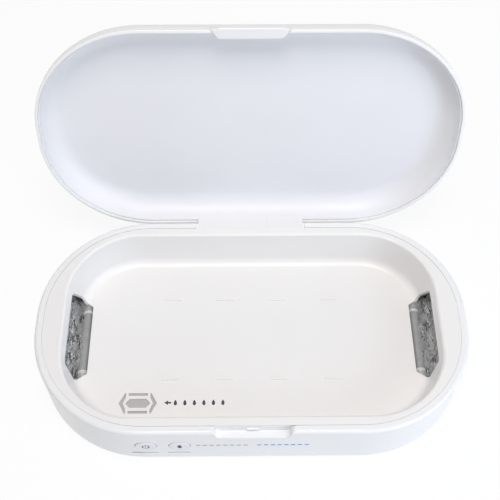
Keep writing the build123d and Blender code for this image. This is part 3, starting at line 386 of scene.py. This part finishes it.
def foil(name, colour):
    """Thin bright foil: facets of differing polish, with painted shade and painted glints at its creases.

    The painted shade is a dark line along the tube where a drawn-out noise passes its middle, and the painted
    glints are white, non-metal lines beside it, both only in the patches where the sheet is creased.
    """
    finish = Finish(name)
    facet = 1.9 * MM
    edges = finish.cells(facet, "DISTANCE_TO_EDGE")
    polish, _, _ = finish.parts(finish.cells(facet, output="Color"))
    fine = finish.noise(0.7 * MM, 3.0)
    drawn = finish.node("ShaderNodeMapping", {}, {"Vector": finish.place(), "Scale": (1.0, 0.32, 1.0)})
    wander = finish.noise(2.6 * MM, 3.0, drawn) - 0.5
    creased = finish.noise(6 * MM, 1.0).above(0.47, 0.1)
    # Painted shade: dark lines along the creases stand in for the shade and dark reflections there.
    painted_crease_shade = wander.crossing(0.0009, 0.0010) * creased
    # Painted highlight: white, non-metal lines beside the creases stand in for glints of the light.
    painted_glint = (wander - 0.06).crossing(0.0004, 0.0005) * creased * fine.above(0.5, 0.1)
    sheen = finish.shade(polish, colour, 0.78, 1.1)
    crease_shaded = finish.blend(painted_crease_shade * 0.85, sheen, rgba(colour, 0.1))
    return finish.set(
        Base_Color=finish.blend(painted_glint, crease_shaded, rgba(colour, 1.1)),
        Metallic=(0.3 + polish * 0.45) * (1 - painted_glint),
        Roughness=0.07 + polish * 0.1,
        Normal=finish.bump(edges * 0.75 + fine * 0.25, 0.4 * MM))


def rubber(name, colour, roughness=0.6):
    """Matt rubber with a chalky mottling."""
    finish = Finish(name)
    mottle = finish.noise(0.8 * MM, 5.0)
    return finish.set(
        Base_Color=finish.shade(mottle, colour, 0.9, 1.08),
        Roughness=roughness + (mottle - 0.5) * 0.2,
        Normal=finish.bump(mottle, 0.02 * MM))


def clear_sleeve(name, colour, ring_colour, rings_end):
    """Soft sleeve: plain rims up to rings_end from the middle of the lamp, and a cloudy skin beyond them."""
    finish = Finish(name)
    mottle = finish.noise(1.2 * MM, 4.0)
    _, along, _ = finish.parts(finish.place())
    rims = along.crossing(rings_end ** 2, rings_end * 0.5 * MM)
    return finish.set(
        Base_Color=finish.blend(rims, finish.shade(mottle, colour, 0.6, 1.3), rgba(ring_colour)),
        Roughness=0.25 + mottle * 0.2,
        Normal=finish.bump(mottle, 0.05 * MM))


def tube_glass(name, colour):
    """Lamp glass: a grey quartz wall, cloudier in places and a little see-through."""
    finish = Finish(name)
    cloud = finish.noise(3 * MM, 4.0)
    return finish.set(
        Base_Color=finish.shade(cloud, colour, 0.85, 1.15),
        Roughness=0.16 + cloud * 0.1,
        Alpha=0.86 + cloud * 0.12,
        IOR=1.46,
        Coat_Weight=0.4,
        Coat_Roughness=0.05)


def ink(name, colour):
    """Printing ink: dense, slightly uneven and matt."""
    finish = Finish(name)
    cover = finish.noise(0.35 * MM, 4.0)
    return finish.set(
        Base_Color=finish.shade(cover, colour, 0.8, 1.3),
        Roughness=0.42 + cover * 0.15,
        Normal=finish.bump(cover, 0.004 * MM))


def lacquer(name, colour):
    """Circuit board: lacquer over copper tracks, seen as lighter wavy runs."""
    finish = Finish(name)
    waves = finish.node("ShaderNodeTexWave", {"bands_direction": "DIAGONAL"}, {
        "Vector": finish.place(), "Scale": 160.0, "Distortion": 3.0, "Detail": 1.0})
    tracks = waves.above(0.72, 0.08)
    return finish.set(
        Base_Color=finish.shade(tracks, colour, 1.0, 1.7),
        Roughness=0.34 + tracks * 0.08,
        Normal=finish.bump(tracks, 0.03 * MM))


def felt(name, colour):
    """Pressed felt: short crossing fibres."""
    finish = Finish(name)
    fibres = finish.noise(0.25 * MM, 6.0)
    return finish.set(
        Base_Color=finish.shade(fibres, colour, 0.7, 1.1),
        Roughness=0.9,
        Normal=finish.bump(fibres, 0.12 * MM))


def dress(finish, *nodes):
    """Gives CAD nodes a finish in place of their plain one."""
    for node in nodes:
        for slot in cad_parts[node].material_slots:
            slot.material = finish.material


# Surfaces


def face_outwards(mesh):
    """Turns the faces of a closed mesh outwards."""
    shell = bmesh.new()
    shell.from_mesh(mesh)
    bmesh.ops.recalc_face_normals(shell, faces=shell.faces)
    shell.to_mesh(mesh)
    shell.free()


def make_piece(name, shape, finish, body, closed=True, smooth=False):
    """An object from the points and faces of a shape, riding on a body."""
    points, faces = shape
    mesh = bpy.data.meshes.new(name)
    mesh.from_pydata(points.reshape(-1, 3).tolist(), [], faces)
    if smooth:
        mesh.shade_smooth()
    else:
        mesh.shade_flat()
    if closed:
        face_outwards(mesh)
    mesh.materials.append(finish.material)
    piece = bpy.data.objects.new(name, mesh)
    bpy.context.scene.collection.objects.link(piece)
    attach(piece, body)
    return piece


def grid_faces(rows, columns, wrap_rows=False, wrap_columns=False):
    """Quads of a grid of points numbered row by row, joined round where it wraps."""
    row = np.arange(rows if wrap_rows else rows - 1)[:, None]
    column = np.arange(columns if wrap_columns else columns - 1)[None, :]
    next_row, next_column = (row + 1) % rows, (column + 1) % columns
    corners = (row * columns + column, row * columns + next_column,
               next_row * columns + next_column, next_row * columns + column)
    return np.stack(np.broadcast_arrays(*corners), -1).reshape(-1, 4).tolist()


def ribbon(path, half_width, normal, thickness, closed=False):
    """A flat band along a path on a surface.

    At each point of the path the band spans from -w to +w along normal x tangent, and from the
    surface up to thickness along the normal; rings of four corners are joined along the path.
    """
    width = np.broadcast_to(np.asarray(half_width, float), len(path))[:, None]
    if closed:
        tangent = np.roll(path, -1, 0) - np.roll(path, 1, 0)
    else:
        tangent = np.gradient(path, axis=0)
    side = np.cross(normal, tangent)
    side /= np.linalg.norm(side, axis=1, keepdims=True)
    left, right, up = path - side * width, path + side * width, normal * thickness
    faces = grid_faces(len(path), 4, closed, True)
    if not closed:
        last = 4 * (len(path) - 1)
        faces += [[0, 1, 2, 3], [last + 3, last + 2, last + 1, last]]
    return np.stack([left, right, right + up, left + up], 1), faces


def turned(profile, centre, direction, steps, closed=False):
    """A solid of revolution about the Y axis.

    Row i is a circle of radius profile[i, 1] at distance profile[i, 0] from centre along direction. A
    closed profile runs round into itself, and an open one has its first and last circle capped.
    """
    angle = np.linspace(0, 2 * math.pi, steps, endpoint=False)
    along, radius = profile[:, :1], profile[:, 1:]
    points = np.stack([
        centre[0] + radius * np.cos(angle),
        np.broadcast_to(centre[1] + direction * along, (len(profile), steps)),
        centre[2] + radius * np.sin(angle)], -1)
    faces = grid_faces(len(profile), steps, closed, True)
    if not closed:
        last = (len(profile) - 1) * steps
        faces += [list(range(steps)), list(range(last, last + steps))]
    return points, faces


def drop(base, up, normal, height, thickness):
    """A drop standing on base.

    Its half width at the share t of its height is height * (0.65 * sqrt(t) * (1 - t) ** 0.8 + 0.004),
    where the last number keeps its tip from being a point.
    """
    share = np.concatenate([np.linspace(0.001, 0.12, 6), np.linspace(0.16, 1.0, 16)])
    half_width = height * (0.65 * np.sqrt(share) * (1 - share) ** 0.8 + 0.004)
    return ribbon(base + height * share[:, None] * up, half_width, normal, thickness)


def joined(shapes):
    """Several shapes as one."""
    points, faces, first = [], [], 0
    for shape_points, shape_faces in shapes:
        points.append(shape_points.reshape(-1, 3))
        faces += [[index + first for index in face] for face in shape_faces]
        first += len(points[-1])
    return np.vstack(points), faces


def at_height(path, z):
    """Points of a flat path, all at height z."""
    return np.column_stack([path, np.full(len(path), z)])


def seam_path(side, inset, front_gap, rear_gap):
    """One end of the case's outline, moved in by inset, from the gap at the front to the gap at the rear.

    Straight runs along the front and rear, quarter circles at the corners and a straight run at the
    end, given by their own angle or share, and joined in order.
    """
    half = CASE_HALF - inset
    radius = CASE_CORNER - inset
    centre = half - radius
    turn = np.linspace(0, math.pi / 2, 40)
    corner = np.column_stack([centre[0] + radius * np.sin(turn), -centre[1] - radius * np.cos(turn)])
    end = np.column_stack([np.full(3, half[0]), np.linspace(-centre[1], centre[1], 5)[1:-1]])
    steps = 11
    front = np.linspace(front_gap, centre[0], steps, endpoint=False)
    rear = np.linspace(rear_gap, centre[0], steps, endpoint=False)[::-1]
    path = np.vstack([
        np.column_stack([front, np.full(steps, -half[1])]), corner, end, corner[::-1] * (1, -1),
        np.column_stack([rear, np.full(steps, half[1])])])
    return path * (side, 1)


def opened(points):
    """Points of the closed lid, turned about the hinge to where the open lid holds them."""
    y, z = points[:, 1] - HINGE[1], points[:, 2] - HINGE[2]
    cos, sin = math.cos(OPEN_ANGLE), math.sin(OPEN_ANGLE)
    return np.column_stack([points[:, 0], HINGE[1] + y * cos + z * sin, HINGE[2] - y * sin + z * cos])


def foil_corners(name, side):
    """Section of the foil under and behind a tube, as X and Z of its five corners.

    It runs from the lip on the inner side over a flat under the tube and a bend to the top behind the
    tube. Lip, bend and top stand a little clear of the bent sheet's ends.
    """
    low, high = box(f"reflector_{name}")
    tube = middle(f"uv_tube_{name}")[0]
    inner, outer = (low[0], high[0]) if side > 0 else (high[0], low[0])
    flat_half, bend = 3.6 * MM, 9.6 * MM
    lip_rise, bend_rise = 7.8 * MM, 7.7 * MM
    clear, top_clear = 0.3 * MM, 0.5 * MM
    return np.array((
        (inner + side * clear, low[2] + lip_rise),
        (tube - side * flat_half, low[2]),
        (tube + side * flat_half, low[2]),
        (tube + side * (bend - clear), low[2] + bend_rise),
        (outer - side * top_clear, high[2])))


def rounded(section, reach=4):
    """A section's points, each moved to the mean of its neighbours up to reach away, weighted by a bell."""
    bell = np.hanning(2 * reach + 1)
    padded = np.pad(section, ((reach, reach), (0, 0)), mode="edge")
    return np.column_stack([np.convolve(column, bell / bell.sum(), "valid") for column in padded.T])


def folded(u, v, look, random):
    """Height of a creased sheet, from 0 to 1, at u along its section and v along the tube.

    Each set of folds is a triangle wave |2 frac(k . p + phase) - 1| in its own direction, and the
    height is the mean of all the sets to the power 1.5.
    """
    height = np.zeros_like(u)
    for _ in range(look.folds):
        angle = random.uniform(0, math.pi)
        pitch = look.fold_length * random.uniform(0.5, 2.2)
        wave = (u * math.cos(angle) + v * math.sin(angle)) / pitch + random.uniform()
        height += np.abs(2 * (wave % 1) - 1)
    return (height / look.folds) ** 1.5


# Operators, one for each group of pieces


class STERILIZER_OT_case(Operator):
    """Finishes the housing, tray, lid and buttons."""
    bl_idname = "sterilizer.case"
    bl_label = "Finish case and lid"

    def execute(self, context):
        look = context.scene.sterilizer_plastic
        grain, polished, textured = look.grain_size, look.grain_depth, look.grain_depth * 1.5
        dress(plastic("case_plastic", look.case_colour, look.gloss_roughness, grain, polished),
              "base_housing", "lid_tab", "hinge_arm")
        dress(plastic("lid_plastic", look.lid_colour, look.gloss_roughness, grain, polished), "lid_shell")
        dress(plastic("tray_plastic", look.tray_colour, look.satin_roughness, grain, textured), "inner_tray")
        dress(plastic("liner_plastic", look.liner_colour, look.liner_roughness, grain, textured), "lid_liner")
        dress(plastic("button_plastic", look.button_colour, look.satin_roughness, grain, polished), *BUTTONS)
        return {"FINISHED"}


class STERILIZER_OT_beads(Operator):
    """Makes the soft beads in the seam round the tray and in the seam round the lid's liner."""
    bl_idname = "sterilizer.beads"
    bl_label = "Make seam beads"

    def execute(self, context):
        look = context.scene.sterilizer_plastic
        tray_depth, tray_half_width = 1.5 * MM, 0.17 * MM
        lid_depth, lid_half_width = 3.2 * MM, 0.12 * MM
        lid_height = 2.0 * MM - look.bead_drop * 0.3
        tray, lid = [], []
        for side in (-1, 1):
            foot = at_height(seam_path(side, **TRAY_SEAM), RIM - tray_depth)
            tray.append(ribbon(foot, tray_half_width, Z_AXIS, tray_depth - look.bead_drop))
            foot = opened(at_height(seam_path(side, **LID_SEAM), LID_EDGE + lid_depth))
            lid.append(ribbon(foot, lid_half_width, LID_MOUTH, lid_height))
        skin = plastic(
            "bead_plastic", look.case_colour, look.satin_roughness, look.grain_size, look.grain_depth)
        make_piece("tray_bead", joined(tray), skin, "base")
        make_piece("lid_bead", joined(lid), skin, "lid")
        return {"FINISHED"}


class STERILIZER_OT_gap_shade(Operator):
    """Paints shade into the gaps round the push buttons: thin dark bands along two ellipses, set just behind
    the front wall.
    """
    bl_idname = "sterilizer.seals"
    bl_label = "Make button shading"

    def execute(self, context):
        look = context.scene.sterilizer_plastic
        turn = np.linspace(0, 2 * math.pi, 72, endpoint=False)[:, None]
        half_length, half_height = BUTTON_HALF + BUTTON_GAP / 2
        ellipse = half_length * np.cos(turn) * X_AXIS + half_height * np.sin(turn) * Z_AXIS
        half_width, thickness = BUTTON_GAP * 0.46, 0.12 * MM
        shapes = []
        for button in BUTTONS:
            centre = middle(button)
            centre[1] = wall_y(centre[2]) + look.gap_shade_depth
            shapes.append(ribbon(centre + ellipse, half_width, -Y_AXIS, thickness, closed=True))
        # Painted shade: dark rubber bands put in the gaps, where there would only be the gaps' shade.
        gap_shade = rubber("painted_gap_shade_rubber", look.gap_shade_colour)
        make_piece("painted_button_gap_shade", joined(shapes), gap_shade, "base")
        return {"FINISHED"}


class STERILIZER_OT_lamps(Operator):
    """Makes the creased foil, the electrodes and the sleeves, and finishes tubes and caps."""
    bl_idname = "sterilizer.lamps"
    bl_label = "Make lamps"

    def execute(self, context):
        look = context.scene.sterilizer_lamps
        sheet = foil("lamp_foil", look.foil_colour)
        tip_metal = metal("electrode_metal", look.electrode_colour, 0.32, 1 * MM)
        for side, name in ((-1, "left"), (1, "right")):
            self.foil(look, sheet, side, name)
            self.electrodes(tip_metal, name)
            self.sleeves(look, name)
        dress(tube_glass("lamp_glass", look.glass_colour), "uv_tube_left", "uv_tube_right")
        dress(rubber("cap_rubber", look.cap_colour), "lamp_caps_left", "lamp_caps_right")
        return {"FINISHED"}

    def foil(self, look, finish, side, name):
        """Foil under and behind a tube.

        Its rounded section is drawn out along Y, wider behind the tube than under it, and pushed along
        its normal by the height of its folds, least on the flat and most at the top.
        """
        corners = foil_corners(name, side)
        reach = np.concatenate([[0], np.cumsum(np.linalg.norm(np.diff(corners, axis=0), axis=1))])
        along = np.linspace(0, reach[-1], 96)
        section = rounded(np.column_stack([np.interp(along, reach, column) for column in corners.T]))
        tangent = np.gradient(section, axis=0)
        tangent /= np.linalg.norm(tangent, axis=1, keepdims=True)
        normal = np.column_stack([-tangent[:, 1], tangent[:, 0]]) * side

        low, high = box(f"reflector_{name}")
        u, v = np.meshgrid(along, np.linspace(low[1], high[1], 190), indexing="ij")
        rise = np.clip((along - reach[2]) / (reach[3] - reach[2]), 0, 1)
        v = v * (1 + look.flare / high[1] * rise * rise * (3 - 2 * rise))[:, None]

        seed = 7
        freedom = np.interp(along, reach, (0.5, 0.25, 0.25, 0.8, 1.0))[:, None]
        push = folded(u, v, look, np.random.default_rng(seed + side)) * look.crinkle * freedom
        x, z = (section[:, [k]] + normal[:, [k]] * push for k in range(2))
        points = np.stack([x, v, z], -1)
        piece = make_piece(f"lamp_foil_{name}", (points, grid_faces(*u.shape)), finish,
                           "base", closed=False)
        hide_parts(f"reflector_{name}")
        wall = piece.modifiers.new("thickness", "SOLIDIFY")
        wall.thickness = look.foil_thickness
        wall.offset = 0

    def electrodes(self, finish, name):
        """A cup with two rolled rims, a cone and a stem at each end of a tube, all turned about its axis.

        The profile is given by the distance from the cup's inner end in mm and the share of the radius.
        """
        low, high = box(f"electrodes_{name}")
        radius, half = (high[0] - low[0]) / 2 * 0.99, (high[1] - low[1]) / 2
        cup = np.array((
            (0.0, 0.30), (0.0, 0.80), (0.15, 0.95), (0.35, 1.0), (0.55, 0.95), (0.7, 0.84), (0.95, 0.84),
            (1.1, 0.95), (1.3, 1.0), (1.5, 0.95), (1.65, 0.84), (2.6, 0.80), (5.4, 0.42), (6.2, 0.26),
            (6.6, 0.20), (10.7, 0.20)))
        length = cup[-1, 0] * MM
        profile = np.column_stack([half - length + cup[:, 0] * MM, cup[:, 1] * radius])
        shapes = [turned(profile, middle(f"electrodes_{name}"), direction, 32) for direction in (-1, 1)]
        piece = make_piece(f"electrode_cups_{name}", joined(shapes), finish,
                           "base", smooth=True)
        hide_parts(f"electrodes_{name}")

    def sleeves(self, look, name):
        """Two soft sleeves on each tube, turned about its axis, each with two rolled rims towards the middle.

        The section is given in mm, by its distance from the middle of the lamp and its height over the glass.
        """
        tube = f"uv_tube_{name}"
        low, high = box(tube)
        rim = np.array(((-0.275, 0.30), (-0.125, 0.46), (0.125, 0.46), (0.275, 0.30)))
        rims = [rim + (place, 0) for place in (17.475, 18.425)]
        section = np.vstack([(17.2, 0.02), *rims, (23.9, 0.30), (24.2, 0.02)])
        profile = section * MM + (0, (high[0] - low[0]) / 2)
        shapes = [turned(profile, middle(tube), direction, 40, closed=True) for direction in (-1, 1)]
        rims_end = 18.9 * MM
        skin = clear_sleeve(f"sleeve_{name}", look.sleeve_colour, look.ring_colour, rims_end)
        make_piece(f"lamp_sleeves_{name}", joined(shapes), skin, "base", smooth=True)


class STERILIZER_OT_signs(Operator):
    """Prints the signs on the buttons, beside the aroma port and on the front wall."""
    bl_idname = "sterilizer.signs"
    bl_label = "Print signs"

    def execute(self, context):
        look = context.scene.sterilizer_signs
        dark = ink("sign_ink", look.ink_colour)
        self.button_signs(look, dark)
        self.port_signs(look, dark)
        self.front_rules(look, dark)
        return {"FINISHED"}

    def print_sign(self, name, shapes, finish, body="base"):
        """One printed piece, joined from its shapes."""
        make_piece(name, joined(shapes), finish, body)

    def button_signs(self, look, finish):
        """A broken ring with a bar in its gap on the power button, and a drop on the aroma button."""
        power, aroma = (middle(button) * (1, 0, 1) + box(button)[0] * Y_AXIS for button in BUTTONS)
        ring_radius, bar_heights = 1.65 * MM, np.array((0.5, 1.3, 2.15)) * MM
        turn = np.radians(np.linspace(125, 415, 41))[:, None]
        ring = power + ring_radius * (np.cos(turn) * X_AXIS + np.sin(turn) * Z_AXIS)
        bar = power + bar_heights[:, None] * Z_AXIS
        strokes = [ribbon(line, look.stroke / 2, -Y_AXIS, look.ink_thickness) for line in (ring, bar)]
        self.print_sign("power_sign", strokes, finish, "power_button")
        foot_depth, height = 1.9 * MM, 3.9 * MM
        sign = drop(aroma - foot_depth * Z_AXIS, Z_AXIS, -Y_AXIS, height, look.ink_thickness)
        self.print_sign("drop_sign", [sign], finish, "aroma_button")

    def port_signs(self, look, finish):
        """An arrow towards the port, given by X and half width, and six drops in a row for what it holds."""
        row = -37.1 * MM
        arrow = np.array(((-42.0, 0.45), (-43.6, 0.45), (-43.61, 1.25), (-45.5, 0.04))) * MM
        line = at_height(np.column_stack([arrow[:, 0], np.full(len(arrow), row)]), TRAY_FLOOR)
        self.print_sign("port_arrow", [ribbon(line, arrow[:, 1], Z_AXIS, look.ink_thickness)], finish)
        first, last, count = -39.8, -15.2, 6
        foot = row - look.drop_height / 2
        drops = [
            drop(np.array((x, foot, TRAY_FLOOR)), Y_AXIS, Z_AXIS, look.drop_height, look.ink_thickness)
            for x in np.linspace(first, last, count) * MM]
        self.print_sign("port_drops", drops, finish)

    def front_rules(self, look, finish):
        """On the front wall, two fine rules under the buttons, and a grey and a blue run of dashes, in mm."""
        def band(x_from, x_to, z, height):
            """A level band that lies on the leaning wall."""
            x = np.linspace(x_from, x_to, 3) * MM
            line = at_height(np.column_stack([x, np.full(len(x), wall_y(z * MM))]), z * MM)
            return ribbon(line, height / 2 * MM, WALL_NORMAL, look.ink_thickness)

        rule_z, rule_height = 8.5, 0.35
        rules = [band(*span, rule_z, rule_height) for span in ((-61.0, -47.4), (-42.9, -31.5))]
        self.print_sign("button_rules", rules, finish)
        dash_z, dash_height, count, pitch = 17.7, 1.1, 8, 3.375
        dash_length = pitch * 0.62
        for name, colour, first in (("grey", look.grey_colour, -28.3), ("blue", look.blue_colour, 2.1)):
            starts = first + pitch * np.arange(count)
            dashes = [band(start, start + dash_length, dash_z, dash_height) for start in starts]
            self.print_sign(f"front_dashes_{name}", dashes, ink(f"front_dashes_{name}", colour))


# Colours of the fittings
BOARD_GREEN = (0.05, 0.20, 0.10)
LEAD_RED = (0.55, 0.06, 0.05)
STEEL_GREY = (0.62, 0.62, 0.63)
CAN_GREY = (0.7, 0.7, 0.72)
WINDING_BROWN = (0.55, 0.25, 0.10)
FERRITE_GREY = (0.05, 0.05, 0.055)
CHIP_BLACK = (0.03, 0.03, 0.033)
HEADER_CREAM = (0.75, 0.72, 0.62)
FOOT_GREY = (0.45, 0.45, 0.45)
FELT_GREY = (0.56, 0.56, 0.56)


class STERILIZER_OT_fittings(Operator):
    """Finishes boards, leads, fasteners, feet and the aroma cup."""
    bl_idname = "sterilizer.fittings"
    bl_label = "Finish fittings"

    def execute(self, context):
        grain, depth = 0.3 * MM, 0.004 * MM
        dress(lacquer("board_lacquer", BOARD_GREEN), "main_board", "button_board", "inlet_board")
        dress(rubber("wire_skin", LEAD_RED, 0.45),
              "lamp_leads_left", "lamp_leads_right", "heater_lead", "button_lead", "inlet_lead")
        dress(metal("steel", STEEL_GREY, 0.3), "case_screws", "board_screws", "hinge_pin",
              "catch_plate", "inlet_shell", "aroma_heater", "lid_magnet")
        dress(metal("capacitor_can", CAN_GREY, 0.35), "board_capacitors")
        dress(rubber("winding", WINDING_BROWN, 0.4), "transformer_windings")
        dress(rubber("ferrite", FERRITE_GREY, 0.7), "transformer_cores")
        dress(plastic("black_plastic", CHIP_BLACK, 0.4, grain, depth), "board_chips",
              "switch_bodies", "power_plunger", "aroma_plunger", "lid_sensor", "inlet_tongue")
        dress(plastic("header_plastic", HEADER_CREAM, 0.5, grain, depth), "board_headers", "aroma_cup")
        dress(rubber("foot_rubber", FOOT_GREY), "rubber_feet")
        dress(felt("felt", FELT_GREY), "aroma_pad")
        return {"FINISHED"}


class STERILIZER_OT_stage(Operator):
    """Sets the floor, the lights and the camera."""
    bl_idname = "sterilizer.stage"
    bl_label = "Set stage"

    def execute(self, context):
        look = context.scene.sterilizer_studio
        warm, cool = (1.0, 0.97, 0.94), (0.72, 0.84, 1.0)
        overhead, right_of_front = (0.0, -0.2, 1.1), (0.57, -0.42, 0.28)
        self.camera(context, look)
        self.floor(look)
        self.world(context, look)
        self.light(context, "key_light", look.key_power, warm, overhead, 0.45)
        self.light(context, "fill_light", look.fill_power, cool, right_of_front, 0.4)
        return {"FINISHED"}

    def camera(self, context, look):
        """A camera on a sphere round its target: azimuth, elevation and a slight roll."""
        azimuth, elevation, roll = (math.radians(angle) for angle in (-0.8, 56.56, 0.32))
        target, distance = Vector((-0.22, 63.87, 2.3)) * MM, 529.84 * MM
        back = Vector((
            math.sin(azimuth) * math.cos(elevation),
            -math.cos(azimuth) * math.cos(elevation),
            math.sin(elevation)))
        right = Vector(Z_AXIS).cross(back).normalized()
        up = back.cross(right)
        rolled_right = right * math.cos(roll) + up * math.sin(roll)
        rolled_up = up * math.cos(roll) - right * math.sin(roll)
        data = bpy.data.cameras.new("camera")
        data.sensor_width = 36
        data.lens = look.focal_length
        data.clip_start, data.clip_end = 0.01, 20
        camera = bpy.data.objects.new("camera", data)
        context.scene.collection.objects.link(camera)
        turn = Matrix((rolled_right, rolled_up, back)).transposed().to_4x4()
        camera.matrix_world = Matrix.Translation(target + back * distance) @ turn
        context.scene.camera = camera

    def floor(self, look):
        """A wide floor that the camera sees as white where no shadow falls."""
        reach = 6.0
        corners = [(-reach, -reach, 0), (reach, -reach, 0), (reach, reach, 0), (-reach, reach, 0)]
        mesh = bpy.data.meshes.new("floor")
        mesh.from_pydata(corners, [], [(0, 1, 2, 3)])
        paper = Finish("floor_paper")
        grain = paper.noise(1.5 * MM)
        paper.set(Base_Color=paper.blend(grain, (0.9, 0.9, 0.9, 1), (0.93, 0.93, 0.93, 1)), Roughness=0.9)
        white = paper.node("ShaderNodeEmission", {}, {"Color": WHITE, "Strength": 1.0})
        factor = (paper.seen() * look.floor_white).clamp()
        lit = Wire(paper, paper.shader.outputs[0])
        mixed = paper.node("ShaderNodeMixShader", {}, {0: factor, 1: lit, 2: white})
        paper.feed(paper.tree.nodes["Material Output"].inputs["Surface"], mixed)
        mesh.materials.append(paper.material)
        floor = bpy.data.objects.new("floor", mesh)
        bpy.context.scene.collection.objects.link(floor)

    def world(self, context, look):
        """Even white surroundings: full white to the camera and in reflections, dimmer as light."""
        world = bpy.data.worlds.new("studio")
        world.use_nodes = True
        sky = Nodes(world.node_tree)
        light = sky.tree.nodes["Background"]
        light.inputs["Color"].default_value = (0.97, 0.98, 1.0, 1)
        light.inputs["Strength"].default_value = look.world_strength
        lit = Wire(sky, light.outputs[0])
        plain = sky.node("ShaderNodeBackground", {}, {"Color": WHITE, "Strength": 1.0})
        mixed = sky.node("ShaderNodeMixShader", {}, {0: sky.seen().clamp(), 1: lit, 2: plain})
        sky.feed(sky.tree.nodes["World Output"].inputs["Surface"], mixed)
        context.scene.world = world
        context.scene.view_settings.view_transform = "Standard"

    def light(self, context, name, power, colour, place, size):
        """A square area light that looks at a point over the tray."""
        data = bpy.data.lights.new(name, "AREA")
        data.energy = power
        data.color = colour
        data.size = size
        light = bpy.data.objects.new(name, data)
        light.location = place
        over_tray = Vector((0, 0.02, 0.03))
        aim = over_tray - Vector(place)
        light.rotation_euler = aim.to_track_quat("-Z", "Y").to_euler()
        context.scene.collection.objects.link(light)


OPERATORS = (
    STERILIZER_OT_case, STERILIZER_OT_beads, STERILIZER_OT_gap_shade, STERILIZER_OT_lamps,
    STERILIZER_OT_signs, STERILIZER_OT_fittings, STERILIZER_OT_stage)


class STERILIZER_PT_panel(Panel):
    """Lists the operators and their settings."""
    bl_label = "Sterilizer"
    bl_space_type = "VIEW_3D"
    bl_region_type = "UI"
    bl_category = "Sterilizer"

    def draw(self, context):
        for operator in OPERATORS:
            self.layout.operator(operator.bl_idname)
        for key in SETTINGS:
            group = getattr(context.scene, key)
            settings = self.layout.box()
            for name in group.__annotations__:
                settings.prop(group, name)


CLASSES = (*SETTINGS.values(), *OPERATORS, STERILIZER_PT_panel)


def register():
    """Adds the settings, operators and panel to Blender."""
    for cls in CLASSES:
        bpy.utils.register_class(cls)
    for key, group in SETTINGS.items():
        setattr(bpy.types.Scene, key, PointerProperty(type=group))


def unregister():
    """Takes them out again."""
    for key in SETTINGS:
        delattr(bpy.types.Scene, key)
    for cls in reversed(CLASSES):
        bpy.utils.unregister_class(cls)


def main():
    register()
    for operator in OPERATORS:
        group, name = operator.bl_idname.split(".")
        getattr(getattr(bpy.ops, group), name)()


if __name__ == "__main__":
    main()
